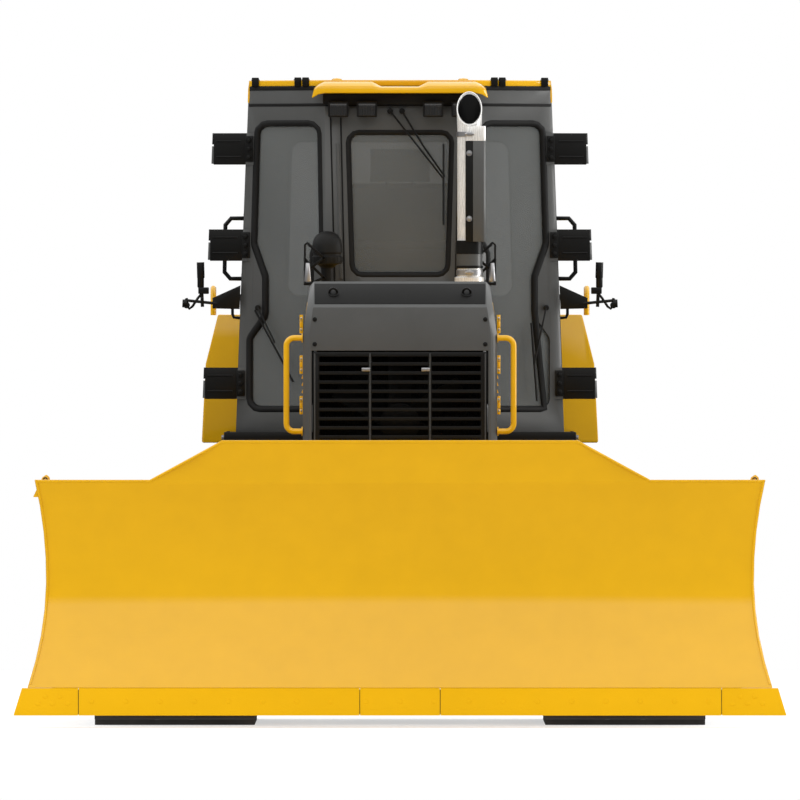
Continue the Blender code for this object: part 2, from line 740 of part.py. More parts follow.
def cab_block(name, low, high, inset=0.0, spec=DARK):
    bottom = [(x, y, low) for x, y in cab_plan(low, inset)]
    top = [(x, y, high) for x, y in cab_plan(high, inset)]
    count = len(bottom)
    faces = [list(range(count)), list(range(count, 2 * count))]
    for i in range(count):
        j = (i + 1) % count
        faces.append([i, j, count + j, count + i])
    return solid(name, bottom + top, faces, spec)


def lean_in(made, side):
    """Leans what was drawn upright so that it lies in the cab's side."""
    def rule(corner):
        corner.x -= side * (corner.z - CAB_BASE_Z) * CAB_LEAN
        return corner
    return reshape(made, rule)


def onto_facet(made):
    """Lays what was drawn across the front onto the facet on its side."""
    def rule(corner):
        corner.y += CAB_FRONT + max(0.0, abs(corner.x) - FACET_HALF) * FACET_SLOPE
        return corner
    return reshape(made, rule)


def rounded(corners, radius, steps=4):
    """A polygon with its corners rounded."""
    outline = []
    count = len(corners)
    for i in range(count):
        before = Vector(corners[i - 1])
        here = Vector(corners[i])
        after = Vector(corners[(i + 1) % count])
        back = (before - here).normalized()
        ahead = (after - here).normalized()
        half = back.angle(ahead) / 2
        reach = min(radius / math.tan(half), (before - here).length / 2.1, (after - here).length / 2.1)
        bulge = reach * math.tan(half)
        middle = here + (back + ahead).normalized() * (bulge / math.sin(half))
        first = here + back * reach
        last = here + ahead * reach
        for step in range(steps):
            share = step / (steps - 1)
            point = first.lerp(last, share) - middle
            outline.append(tuple(middle + point.normalized() * bulge))
    return outline


def shrink(corners, by):
    """A polygon moved inwards by a distance along each corner's bisector."""
    area = sum(a[0] * b[1] - b[0] * a[1] for a, b in zip(corners, corners[1:] + corners[:1]))
    turn = 1 if area > 0 else -1
    made = []
    for i in range(len(corners)):
        here = Vector(corners[i])
        back = (here - Vector(corners[i - 1])).normalized()
        ahead = (Vector(corners[(i + 1) % len(corners)]) - here).normalized()
        inward = Vector((-back.y - ahead.y, back.x + ahead.x)).normalized() * turn
        share = max(0.3, math.cos(back.angle(ahead) / 2))
        made.append(tuple(here + inward * by / share))
    return made


def windshield_outline():
    return [(-0.218, HOOD_TOP_Z + 0.03), (0.218, HOOD_TOP_Z + 0.03), (0.238, 2.645), (-0.238, 2.645)]


def quarter_outline():
    """The tall window beside the hood, stepped in round the middle hinge's pillar."""
    return [(0.387, 1.40), (0.672, 1.40), (0.672, 1.721), (0.601, 1.823), (0.601, 1.996),
            (0.652, 2.142), (0.636, 2.684), (0.353, 2.684), (0.345, 2.184), (0.387, 2.10)]


def side_window(inset=0.0):
    """The door's window in (y, z)."""
    low = DOOR_BOTTOM_Z + 0.10 + inset
    high = DOOR_TOP_Z - DOOR_FRAME - inset
    front = DOOR_FRONT + DOOR_FRAME + inset
    rear = DOOR_REAR - DOOR_FRAME - inset
    return [(front, low), (rear, low), (rear, high), (front, high)]


def rear_window_outline():
    return [(-0.52, 1.90), (0.52, 1.90), (0.50, 2.62), (-0.50, 2.62)]


def build_cab_frame():
    """The hollow cab: floor, pillars, header and fascia, with its window and door openings."""
    cab = cab_block("cab_frame", DECK_Z + TOUCH, FASCIA_TOP_Z)
    cut(cab, cab_block("inside", DECK_Z + 0.06, FASCIA_TOP_Z - 0.09, CAB_WALL))
    cutters = [prism("windshield", rounded(windshield_outline(), 0.05), "Y", CAB_FRONT - 0.1,
                     CAB_FRONT + 0.12)]
    cutters.append(prism("rear", rounded(rear_window_outline(), 0.06), "Y", CAB_REAR - 0.1, CAB_REAR + 0.1))
    for side in (1, -1):
        outline = rounded([(side * x, z) for x, z in quarter_outline()], 0.05)
        cutters.append(onto_facet(prism("quarter", outline, "Y", -0.08, 0.12)))
        x = (CAB_BASE_HALF - CAB_WALL - 0.03, CAB_BASE_HALF + 0.05)
        doorway = side_box("doorway", side, x, (DOOR_FRONT - SWING, DOOR_REAR + DOOR_REAR_GAP),
                           (DOOR_BOTTOM_Z - SWING, DOOR_TOP_Z + SWING))
        cutters.append(lean_in(doorway, side))
    cut(cab, *cutters)
    parts = []
    for side in (1, -1):
        parts += hinge_plates(side)
        parts.append(grab_handle(side))
    return smooth(join(cab, *parts))


def hinge_half(z):
    return HINGE_HALF_AT_BASE - (z - HINGE_HEIGHTS[0]) * CAB_LEAN


def hinge_plates(side):
    """Three plates from the front corner pillar out to the door's axis, each with its knuckle."""
    plates = []
    for z in HINGE_HEIGHTS:
        corner = cab_half(z)
        low = z - HINGE_PLATE_HEIGHT / 2
        high = z + HINGE_PLATE_HEIGHT / 2
        inner_y = CAB_FRONT + (corner - FACET_HALF) * FACET_SLOPE
        out = hinge_half(z)
        outline = [(corner - 0.04, inner_y - 0.028), (out + 0.006, HINGE_Y - 0.034)]
        outline += [(out + 0.006, HINGE_Y - 0.020), (corner - 0.01, inner_y + 0.03)]
        outline = [(side * x, y) for x, y in outline]
        plates.append(prism("plate", outline, "Z", low, high))
        plates.append(side_box("tab", side, (out - 0.009, out + 0.005), (HINGE_Y - 0.03, HINGE_Y),
                               (z + 0.022, high - 0.004)))
        plates.append(knuckle(side, z, 0.02, HINGE_PLATE_HEIGHT / 2))
    return plates


def knuckle(side, z, low, high):
    """A round length of the door's axis, from low to high above a hinge's middle."""
    places = [(side * (hinge_half(z + dz)), HINGE_Y, z + dz) for dz in (low, high)]
    return rod("knuckle", places[0], places[1], 0.014, count=12)


def grab_handle(side):
    """A bent tube on the rear corner pillar."""
    z_low, z_high = 1.99, 2.262
    y = CAB_REAR - 0.06
    path = [(cab_half(z_low) - 0.02, z_low), (0.765, z_low), (0.791, z_low + 0.03)]
    path += [(0.787, z_high - 0.03), (0.761, z_high), (cab_half(z_high) - 0.02, z_high)]
    return tube("handle", [(side * x, y, z) for x, z in path], 0.01, BLACK)


def build_window(name, outline, spec=PANE):
    return prism(name, outline, "Y", 0.016, 0.016 + GLASS, spec)


def build_windshield():
    pane = build_window("windshield", rounded(shrink(windshield_outline(), TOUCH), 0.05))
    return onto_facet(pane)


def build_quarter_window(name, side):
    outline = shrink(quarter_outline(), TOUCH)
    pane = build_window(name, rounded([(side * x, z) for x, z in outline], 0.05))
    return onto_facet(pane)


def build_rear_window():
    outline = rounded(shrink(rear_window_outline(), TOUCH), 0.06)
    return prism("rear_window", outline, "Y", CAB_REAR - 0.022, CAB_REAR - 0.022 + GLASS, PANE)


def build_door(name, side):
    """A cab door as thick as the wall, with its window cut and three arms to the axis."""
    x = (CAB_BASE_HALF - CAB_WALL + 0.005, CAB_BASE_HALF)
    door = side_box(name, side, x, (DOOR_FRONT, DOOR_REAR), (DOOR_BOTTOM_Z, DOOR_TOP_Z), DARK)
    window = prism("window", rounded(side_window(), 0.06), "X", side * 0.6, side * 0.8)
    cut(door, window)
    lean_in(door, side)
    arms = []
    for z in HINGE_HEIGHTS:
        out = hinge_half(z)
        skin = cab_half(z)
        low = z - HINGE_PLATE_HEIGHT / 2 + 0.004
        high = z + 0.012
        outline = [(skin - 0.03, DOOR_FRONT + 0.01), (skin + 0.004, DOOR_FRONT + 0.005)]
        outline += [(out - 0.010, HINGE_Y + 0.004), (out + 0.010, HINGE_Y + 0.004)]
        outline += [(out + 0.012, HINGE_Y + 0.03), (skin + 0.01, DOOR_FRONT + 0.07)]
        outline += [(skin - 0.03, DOOR_FRONT + 0.07)]
        outline = [(side * u, v) for u, v in outline]
        arms.append(prism("arm", outline, "Z", low, high))
        arms.append(knuckle(side, z, -HINGE_PLATE_HEIGHT / 2 + 0.004, 0.012))
    return smooth(join(door, *arms))


def build_door_glass(name, side):
    x = CAB_BASE_HALF - 0.022
    outline = rounded(side_window(TOUCH), 0.06)
    pane = prism(name, outline, "X", side * x, side * (x + GLASS), PANE)
    return lean_in(pane, side)


def build_roof():
    """The yellow cap on the dark fascia, with its eight lifting and lamp lugs."""
    cap = cab_block("cab_roof", FASCIA_TOP_Z + TOUCH, ROOF_TOP_Z, 0.0, YELLOW)
    lugs = []
    for side in (1, -1):
        for reach, width in ROOF_LUGS:
            x = (reach - width / 2, reach + width / 2)
            front = CAB_FRONT + (x[1] - FACET_HALF) * FACET_SLOPE + 0.03
            for y in (front, CAB_REAR - 0.03 - ROOF_LUG_DEPTH):
                lugs.append(side_box("lug", side, x, (y, y + ROOF_LUG_DEPTH),
                                     (FASCIA_TOP_Z + 0.01, ROOF_LUG_TOP_Z)))
    return join(cap, *lugs)


def build_visor():
    """The drooping yellow visor over the windshield."""
    outline = [(-0.394, 2.792), (-0.36, 2.814), (0.36, 2.814), (0.394, 2.792), (0.37, 2.846)]
    outline += [(0.29, 2.846), (-0.29, 2.846), (-0.37, 2.846)]
    visor = prism("front_visor", outline, "Y", CAB_FRONT - 0.16, CAB_FRONT - TOUCH, YELLOW)
    return smooth(visor)


def build_lamp_bar():
    """Four work lamps under one bar in front of the header."""
    rear = CAB_FRONT - TOUCH
    bar = box("front_work_lamps", (-0.33, 0.33), (rear - 0.05, rear), (2.765, 2.788), BLACK)
    lamps = []
    for x in (-0.276, -0.148, 0.148, 0.276):
        lamps.append(box("lamp", (x - 0.0455, x + 0.0455), (rear - 0.09, rear - 0.02), (2.708, 2.77)))
    return join(bar, *lamps)


def build_deck():
    """The platform that the cab stands on, out over the inner part of the tracks."""
    return box("deck", (-DECK_HALF, DECK_HALF), (-0.16, 1.16), (DECK_Z - DECK_THICKNESS, DECK_Z), BLACK)


def build_seat():
    """Cushion, backrest and headrest on a pedestal."""
    floor = DECK_Z + 0.06 + TOUCH
    seat = box("operator_seat", (-0.26, 0.26), (0.42, 0.90), (floor + 0.36, floor + 0.48), FABRIC)
    back = [(0.86, floor + 0.42), (0.99, floor + 0.42), (1.04, floor + 1.02), (0.94, floor + 1.02)]
    parts = [prism("back", back, "X", -0.24, 0.24)]
    head = [(0.945, floor + 1.0), (1.035, floor + 1.0), (1.05, floor + 1.22), (0.97, floor + 1.22)]
    parts.append(prism("head", head, "X", -0.143, 0.143))
    parts.append(box("pedestal", (-0.16, 0.16), (0.50, 0.84), (floor, floor + 0.37)))
    for side in (1, -1):
        parts.append(side_box("armrest", side, (0.255, 0.34), (0.45, 0.88), (floor + 0.55, floor + 0.64)))
        parts.append(side_box("rest_post", side, (0.25, 0.30), (0.60, 0.80), (floor + 0.38, floor + 0.56)))
    return join(seat, *parts)


def build_console():
    """The instrument panel in front of the seat."""
    floor = DECK_Z + 0.06 + TOUCH
    outline = [(-0.13, floor), (0.06, floor), (0.02, floor + 0.55), (0.10, floor + 0.74)]
    outline += [(0.06, floor + 0.80), (-0.12, floor + 0.76)]
    return prism("console", outline, "X", -0.27, 0.27, BLACK)


def build_rear_tank():
    """The fuel tank across the rear, narrower towards its top."""
    right = [(0.894, 1.00), (0.894, 1.266), (0.877, 1.605), (0.821, 1.829)]
    outline = right + [(-x, z) for x, z in reversed(right)]
    tank = prism("rear_fuel_tank", outline, "Y", CAB_REAR + 0.05, HULL_REAR + 0.12, YELLOW)
    under = box("under", (-1.0, 1.0), (1.0, HULL_REAR + 0.3), (0.9, DECK_Z - 0.05))
    middle = box("foot", (-0.40, 0.40), (CAB_REAR + 0.05, HULL_REAR), (HULL_TOP_Z + TOUCH, 1.30))
    return smooth(join(cut(tank, under), middle))


def build_mirror(name, side):
    """The slotted bracket beside the cab with the mirror's rods and clamp."""
    z = 1.903
    root = cab_half(z) + TOUCH + 0.001
    y = 0.085
    outline = [(root + 0.004, 1.85), (0.84, 1.853), (0.84, 1.90), (root, 1.957)]
    bracket = prism(name, [(side * x, v) for x, v in outline], "Y", y - 0.05, y - 0.04, BLACK)
    arm = rod("arm", (side * 0.82, y - 0.045, 1.875), (side * 0.965, y - 0.045, 1.89), 0.007, count=10)
    post = rod("post", (side * 0.885, y - 0.045, 1.86), (side * 0.893, y - 0.045, 2.05), 0.008, count=10)
    head = rod("head", (side * 0.892, y - 0.045, 1.99), (side * 0.894, y - 0.045, 2.06), 0.017, count=12)
    knob = rod("knob", (side * 0.955, y - 0.045, 1.875), (side * 0.975, y - 0.045, 1.876), 0.018, count=12)
    return smooth(join(bracket, arm, post, head, knob))


# ----------------------------------------------------------------------- blade
def curve_depth(z):
    """How far the moldboard's face stands ahead of its deepest line at a height."""
    rise = z - CURVE_CENTRE_Z
    return CURVE_RADIUS - math.sqrt(CURVE_RADIUS**2 - rise**2)


def crease():
    """(y, slope) of the moldboard's face where its curve ends in the flat lower plate."""
    drop = CURVE_CENTRE_Z - CREASE_Z
    slope = drop / math.sqrt(CURVE_RADIUS**2 - drop**2)
    return CURVE_BACK_Y - curve_depth(CREASE_Z), slope


def face_y(z):
    """The front face of the blade at a height."""
    if z >= CREASE_Z:
        return CURVE_BACK_Y - curve_depth(z)
    start, slope = crease()
    return start - slope * (CREASE_Z - z)


def blade_half(z):
    """Half the blade's width at a height: narrowest at the waist, spreading to both ends."""
    rise = z - BLADE_WAIST_Z
    spread = BLADE_SPREAD_UP if rise > 0 else BLADE_SPREAD_DOWN
    return BLADE_WAIST_HALF + spread * rise * rise


def blade_front_outline():
    """The blade seen from the front, with its curved ends and raised middle."""
    steps = 9
    low = EDGE_TOP_Z
    span = BLADE_SHOULDER_Z - low
    right = [(blade_half(low + span * i / (steps - 1)), low + span * i / (steps - 1)) for i in range(steps)]
    right += [(BLADE_SHOULDER_HALF, BLADE_SHOULDER_Z), (BLADE_TOP_HALF, BLADE_TOP_Z)]
    return right + [(-x, z) for x, z in reversed(right)]


def build_blade():
    """The curved moldboard with its beams, ribs and pivot boss behind it."""
    heights = [EDGE_TOP_Z, CREASE_Z]
    steps = 14
    heights += [CREASE_Z + (BLADE_TOP_Z + 0.02 - CREASE_Z) * i / steps for i in range(1, steps + 1)]
    front = [(face_y(z), z) for z in heights]
    back = [(y + MOLDBOARD, z) for y, z in reversed(front)]
    blade = prism("blade", front + back, "X", -1.75, 1.75, YELLOW)
    outline = blade_front_outline()
    keep_within(blade, prism("shape", outline, "Y", -3.0, -2.3))
    parts = []
    low = EDGE_TOP_Z + 0.002
    beam = [(face_y(low) + MOLDBOARD / 2, low), (face_y(0.36) + MOLDBOARD / 2, 0.36)]
    beam += [(-2.47, 0.34), (-2.47, low)]
    parts.append(prism("beam", beam, "X", -1.50, 1.50))
    high = [(face_y(1.04) + MOLDBOARD / 2, 1.04), (face_y(1.08) + MOLDBOARD / 2, 1.08)]
    high += [(face_y(1.08) + 0.11, 1.08), (face_y(1.04) + 0.11, 1.0)]
    parts.append(prism("top_beam", high, "X", -1.50, 1.50))
    for x in (-1.48, -1.05, -0.66, 0.66, 1.05, 1.48):
        rib = [(face_y(z) + MOLDBOARD / 2, z) for z in (0.30, 0.5, 0.7, 0.9, 1.06)]
        rib += [(face_y(1.06) + 0.10, 1.06), (-2.48, 0.9), (-2.47, 0.30)]
        parts.append(prism("rib", rib, "X", x - 0.0125, x + 0.0125))
    block = [(face_y(z) + MOLDBOARD / 2, z) for z in (0.33, 0.46, 0.59)] + [(-2.48, 0.56), (-2.48, 0.33)]
    parts.append(prism("boss_block", block, "X", -0.10, 0.10))
    boss = rod("boss", (0, YOKE_FRONT - 0.015, TILT_Z), (0, -2.50, TILT_Z), 0.10)
    tilt_x, tilt_z = TILT_EYE
    pad_front = face_y(tilt_z - 0.07) + MOLDBOARD / 2
    pad = box("pad", (tilt_x - 0.07, tilt_x + 0.07), (pad_front, TILT_Y - 0.034),
              (tilt_z - 0.07, tilt_z + 0.07))
    join(blade, *parts, boss, pad)
    hole = bore("hole", (0, -2.40, TILT_Z), (0, YOKE_FRONT - 0.09, TILT_Z), TILT_PIN_RADIUS)
    return smooth(cut(blade, hole))


def build_cutting_edge():
    """The bolted edges and end bits along the bottom of the blade."""
    top = EDGE_TOP_Z - TOUCH
    front = [(face_y(BLADE_BOTTOM_Z), BLADE_BOTTOM_Z), (face_y(top), top)]
    back = [(y + EDGE_THICKNESS, z) for y, z in reversed(front)]
    edge = prism("cutting_edge", front + back, "X", -1.75, 1.75, YELLOW)
    outline = [(END_BIT_BOTTOM_HALF, BLADE_BOTTOM_Z - 0.01), (END_BIT_TOP_HALF, top + 0.01)]
    outline += [(-x, z) for x, z in reversed(outline)]
    return smooth(keep_within(edge, prism("shape", outline, "Y", -3.0, -2.3)))


def build_push_frame():
    """The C-shaped frame: two arms from the trunnions, a beam, and the fork of the angle pin."""
    beam = box("push_frame", (-ARM_OUTER, ARM_OUTER), (BEAM_FRONT, BEAM_REAR), (ARM_BOTTOM_Z, ARM_TOP_Z),
               YELLOW)
    parts = []
    for side in (1, -1):
        parts.append(side_box("arm", side, (ARM_INNER, ARM_OUTER), (BEAM_REAR - 0.01, TRUNNION_Y + 0.02),
                              (ARM_BOTTOM_Z, ARM_TOP_Z)))
        parts.append(rod("eye", (side * ARM_INNER, TRUNNION_Y, TRUNNION_Z),
                         (side * ARM_OUTER, TRUNNION_Y, TRUNNION_Z), 0.085))
        parts += lift_lugs(side)
        x, y = ANGLE_TAIL
        parts.append(rod("tail_pin", (side * x, y, ARM_TOP_Z - 0.02), (side * x, y, 0.68),
                         CYLINDER_PIN_RADIUS))
    parts.append(box("nose", (-0.12, 0.12), (BEAM_FRONT - 0.06, BEAM_FRONT + 0.02), (0.33, 0.70)))
    for z in (0.33, 0.66):
        parts.append(box("fork", (-FORK_RADIUS, FORK_RADIUS), (ANGLE_PIVOT_Y, BEAM_FRONT - 0.03),
                         (z, z + 0.04)))
        parts.append(rod("tip", (0, ANGLE_PIVOT_Y, z), (0, ANGLE_PIVOT_Y, z + 0.04), FORK_RADIUS))
    parts.append(rod("pin", (0, ANGLE_PIVOT_Y, 0.35), (0, ANGLE_PIVOT_Y, 0.68), ANGLE_PIN_RADIUS))
    join(beam, *parts)
    holes = []
    for side in (1, -1):
        holes.append(bore("hole", (side * HULL_HALF, TRUNNION_Y, TRUNNION_Z),
                          (side * (ARM_OUTER + 0.1), TRUNNION_Y, TRUNNION_Z), TRUNNION_RADIUS))
    return smooth(cut(beam, *holes))


def lift_lugs(side):
    """The two lugs on an arm that flank the lift rod's eye."""
    y, z = LIFT_FOOT
    outline = [(y - 0.07, ARM_TOP_Z - 0.01), (y + 0.07, ARM_TOP_Z - 0.01)]
    outline += circle(y, z, 0.042, 9, 0, math.pi)
    lugs = []
    for inner in (ARM_INNER, LIFT_X + 0.031):
        low, high = sorted((side * inner, side * (inner + 0.024)))
        lugs.append(prism("lug", outline, "X", low, high))
    return lugs


def build_yoke():
    """The angling yoke: a sleeve on the upright pin, a web, and a wing to each angle cylinder."""
    web = box("blade_yoke", (-0.16, 0.16), (YOKE_FRONT, YOKE_REAR), (0.34, 0.97), YELLOW)
    parts = [rod("sleeve", (0, ANGLE_PIVOT_Y, 0.376), (0, ANGLE_PIVOT_Y, 0.654), 0.085)]
    parts.append(box("neck", (-0.06, 0.06), (YOKE_REAR - 0.01, ANGLE_PIVOT_Y), (0.38, 0.65)))
    front = YOKE_FRONT - YOKE_WING_DROP
    wings = (-YOKE_WING_HALF, YOKE_WING_HALF)
    parts.append(box("wings", wings, (YOKE_FRONT, YOKE_REAR + 0.05), (YOKE_WING_Z, 0.565)))
    for side in (1, -1):
        x = (ANGLE_EYE[0] - 0.07, YOKE_WING_HALF)
        parts.append(side_box("wall", side, x, (front, front + 0.008), (YOKE_WING_Z, 0.70)))
        parts.append(side_box("ledge", side, x, (front, YOKE_REAR), (YOKE_WING_Z, 0.565)))
        parts.append(side_box("lid", side, x, (front, YOKE_REAR + 0.05), (0.676, 0.70)))
    tail_x, tail_z = TILT_TAIL
    parts.append(box("tilt_arm", (tail_x - 0.05, 0.0), (YOKE_FRONT, YOKE_REAR),
                     (tail_z - 0.06, tail_z + 0.06)))
    parts.append(rod("tilt_tail_pin", (tail_x, YOKE_FRONT + 0.01, tail_z), (tail_x, TILT_Y - 0.028, tail_z),
                     0.02))
    parts.append(rod("tilt_pin", (0, YOKE_FRONT + 0.02, TILT_Z), (0, YOKE_FRONT - 0.08, TILT_Z),
                     TILT_PIN_RADIUS))
    join(web, *parts)
    hole = bore("hole", (0, ANGLE_PIVOT_Y, 0.3), (0, ANGLE_PIVOT_Y, 0.7), ANGLE_PIN_RADIUS)
    return smooth(cut(web, hole))


# ------------------------------------------------------------------- cylinders
def build_cylinder(names, tail, eye, hinge_axis, lengths, widths, pin_radius):
    """A barrel with its eye round the tail pin, and the rod with its eye between two lugs.

    The lengths run from the tail pin to the barrel's end and to the rod's inner end.
    """
    barrel_length, rod_start = lengths
    tail = Vector(tail)
    eye = Vector(eye)
    line = (eye - tail).normalized()
    across = Vector(hinge_axis)
    barrel = rod(names[0], tail + line * 0.035, tail + line * barrel_length, CYLINDER_RADIUS, YELLOW, 20)
    ring = rod("ring", tail - across * widths[0], tail + across * widths[0], EYE_RADIUS)
    join(barrel, ring)
    inside = rod("inside", tail + line * 0.075, tail + line * (barrel_length + 0.1), ROD_RADIUS + 0.004)
    hole = bore("hole", tail - across * 0.1, tail + across * 0.1, pin_radius)
    cut(barrel, inside, hole)
    shaft = rod(names[1], eye, tail + line * rod_start, ROD_RADIUS, CHROME, 16)
    end = rod("end", eye - across * widths[1], eye + across * widths[1], EYE_RADIUS - 0.006)
    return smooth(barrel), smooth(join(shaft, end))


def lift_cylinder(side_name, side):
    names = (f"lift_cylinder_barrel_{side_name}", f"lift_cylinder_rod_{side_name}")
    tail = (side * LIFT_X, *LIFT_TOP)
    eye = (side * LIFT_X, *LIFT_FOOT)
    return build_cylinder(names, tail, eye, (1, 0, 0), (0.37, 0.262), (0.03, 0.024), CYLINDER_PIN_RADIUS)


def angle_cylinder(side_name, side):
    names = (f"angle_cylinder_barrel_{side_name}", f"angle_cylinder_rod_{side_name}")
    tail = (side * ANGLE_TAIL[0], ANGLE_TAIL[1], ANGLE_Z)
    eye = (side * ANGLE_EYE[0], ANGLE_EYE[1], ANGLE_Z)
    return build_cylinder(names, tail, eye, (0, 0, 1), (0.72, 0.32), (0.045, 0.045), CYLINDER_PIN_RADIUS)


def tilt_cylinder():
    names = ("tilt_cylinder_barrel", "tilt_cylinder_rod")
    tail = (TILT_TAIL[0], TILT_Y, TILT_TAIL[1])
    eye = (TILT_EYE[0], TILT_Y, TILT_EYE[1])
    return build_cylinder(names, tail, eye, (0, 1, 0), (0.46, 0.26), (0.026, 0.026), 0.02)


# -------------------------------------------------------------------- assembly
def overall_middle():
    """The middle of the length, from the blade's foremost edge to the hitch."""
    foremost = min(face_y(BLADE_BOTTOM_Z), face_y(BLADE_TOP_Z))
    return (foremost + HITCH_REACH) / 2


def build_machine():
    clear_scene()
    machine = bpy.data.objects.new("machine", None)
    bpy.context.collection.objects.link(machine)
    machine["place"] = (0.0, 0.0, 0.0)
    fixed = [build_main_frame(), build_engine(), build_radiator(), build_hood(), build_hood_front()]
    fixed += [build_exhaust(), build_precleaner(), build_cab_frame(), build_roof(), build_visor()]
    fixed += [build_lamp_bar(), build_windshield(), build_rear_window(), build_deck(), build_seat()]
    fixed += [build_console(), build_rear_tank(), build_hitch()]
    for word, side in SIDES:
        fixed.append(build_quarter_window(f"quarter_window_{word}", side))
        fixed.append(build_handrail(f"handrail_{word}", side))
        fixed.append(build_mirror(f"mirror_bracket_{word}", side))
        fixed.append(build_track_frame(f"track_frame_{word}", side))
        fixed.append(build_track(f"track_{word}", side))
        fixed.append(build_sprocket(f"sprocket_{word}", side))
        fixed.append(build_final_drive(f"final_drive_{word}", side))
        fixed.append(build_lift_bracket(f"lift_bracket_{word}", side))
    for made in fixed:
        made.parent = machine
    hang("fan_axis", (0, -1.48, FAN_Z), [build_fan()], machine)
    hang("grille_hinge", (-GRILLE_HALF + 0.004, HOOD_FRONT - 0.004, 1.3), [build_grille_door()], machine)
    for word, side in SIDES:
        hang_doors(word, side, machine)
    hang_blade(machine)
    machine.location.y = -overall_middle()


def hang_doors(word, side, machine):
    z = HINGE_HEIGHTS[0]
    door = [build_door(f"cab_door_{word}", side), build_door_glass(f"cab_door_glass_{word}", side)]
    hang(f"cab_door_axis_{word}", (side * hinge_half(z), HINGE_Y, z), door, machine)
    place = (side * (HOOD_HALF + 0.012), HOOD_SPLIT + 0.02, 1.6)
    hang(f"engine_door_axis_{word}", place, [build_engine_door(f"engine_door_{word}", side)], machine)


def hang_blade(machine):
    lift = hang("lift_axis", (0, TRUNNION_Y, TRUNNION_Z), [build_push_frame()], machine)
    yaw = hang("angle_axis", (0, ANGLE_PIVOT_Y, TILT_Z), [build_yoke()], lift)
    hang("tilt_axis", (0, YOKE_FRONT, TILT_Z), [build_blade(), build_cutting_edge()], yaw)
    for word, side in SIDES:
        barrel, shaft = lift_cylinder(word, side)
        axis = hang(f"lift_barrel_axis_{word}", (side * LIFT_X, *LIFT_TOP), [barrel], machine)
        hang(f"lift_rod_slide_{word}", (side * LIFT_X, *LIFT_FOOT), [shaft], axis)
        barrel, shaft = angle_cylinder(word, side)
        tail = (side * ANGLE_TAIL[0], ANGLE_TAIL[1], ANGLE_Z)
        axis = hang(f"angle_barrel_axis_{word}", tail, [barrel], lift)
        hang(f"angle_rod_slide_{word}", (side * ANGLE_EYE[0], ANGLE_EYE[1], ANGLE_Z), [shaft], axis)
    barrel, shaft = tilt_cylinder()
    axis = hang("tilt_barrel_axis", (TILT_TAIL[0], TILT_Y, TILT_TAIL[1]), [barrel], yaw)
    hang("tilt_rod_slide", (TILT_EYE[0], TILT_Y, TILT_EYE[1]), [shaft], axis)


build_machine()
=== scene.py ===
"""Looks of a crawler bulldozer with an enclosed cab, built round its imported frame.

Metres, +Z up, the blade faces -Y and +X is the machine's left. Every size and
place comes from the frame's boxes or from the sizes in the property groups.
"""

import json
import math

import bmesh
import bpy
from mathutils import Matrix, Vector
from mathutils.bvhtree import BVHTree

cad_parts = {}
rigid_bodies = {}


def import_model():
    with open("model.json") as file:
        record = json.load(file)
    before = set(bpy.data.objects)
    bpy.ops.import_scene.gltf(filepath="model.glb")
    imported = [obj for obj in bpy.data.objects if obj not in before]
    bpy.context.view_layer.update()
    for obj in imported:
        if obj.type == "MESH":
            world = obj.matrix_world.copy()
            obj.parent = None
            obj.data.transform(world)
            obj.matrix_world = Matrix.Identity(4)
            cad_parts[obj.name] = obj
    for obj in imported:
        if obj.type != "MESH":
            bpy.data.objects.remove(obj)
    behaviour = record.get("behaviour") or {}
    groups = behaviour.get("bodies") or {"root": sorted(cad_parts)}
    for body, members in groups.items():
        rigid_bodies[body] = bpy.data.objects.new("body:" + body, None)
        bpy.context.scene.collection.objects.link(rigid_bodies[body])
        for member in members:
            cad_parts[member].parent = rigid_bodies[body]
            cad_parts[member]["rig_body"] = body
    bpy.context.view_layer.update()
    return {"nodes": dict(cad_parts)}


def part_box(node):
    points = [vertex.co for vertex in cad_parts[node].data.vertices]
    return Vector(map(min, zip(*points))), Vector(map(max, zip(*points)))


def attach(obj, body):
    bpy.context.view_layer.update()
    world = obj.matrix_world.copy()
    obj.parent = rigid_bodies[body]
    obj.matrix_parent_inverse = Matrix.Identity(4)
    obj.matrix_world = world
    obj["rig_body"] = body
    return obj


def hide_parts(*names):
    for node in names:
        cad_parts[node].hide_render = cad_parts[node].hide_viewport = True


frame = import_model()

bl_info = {"name": "Crawler Bulldozer", "version": (1, 0, 0), "blender": (4, 5, 0),
    "location": "View3D > Sidebar > Bulldozer",
    "description": "Builds the visible pieces of a crawler bulldozer round its frame",
    "category": "Object",}

SIDES = (("left", 1), ("right", -1))
CHASSIS = "chassis"
MERGE = 0.00002  # corners nearer than this are one corner
FLAT = math.radians(0.6)  # faces that meet at less than this are one face
# the cab's sides lean in between these heights, and its front is flat in the middle and swept back beyond
CAB_BASE_Z, CAB_HEAD_Z = 1.31, 2.757
CAB_BASE_HALF, CAB_HEAD_HALF = 0.735, 0.681
CAB_FLAT_HALF, CAB_SWEEP = 0.335, 0.70
# the undercarriage: the rail's height, wheels, bottom rollers and the idler's and end rollers' places
RAIL_Z, WHEEL_RADIUS, ROLLER_RADIUS = 0.149, 0.30, 0.088
IDLER_Y, ROLLER_REACH, ROLLER_COUNT = -1.40, 1.07, 7
HINGE_HEIGHTS = (1.42, 1.60, 1.78)  # of an engine door's hinges


def low(node):
    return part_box(node)[0]


def high(node):
    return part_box(node)[1]


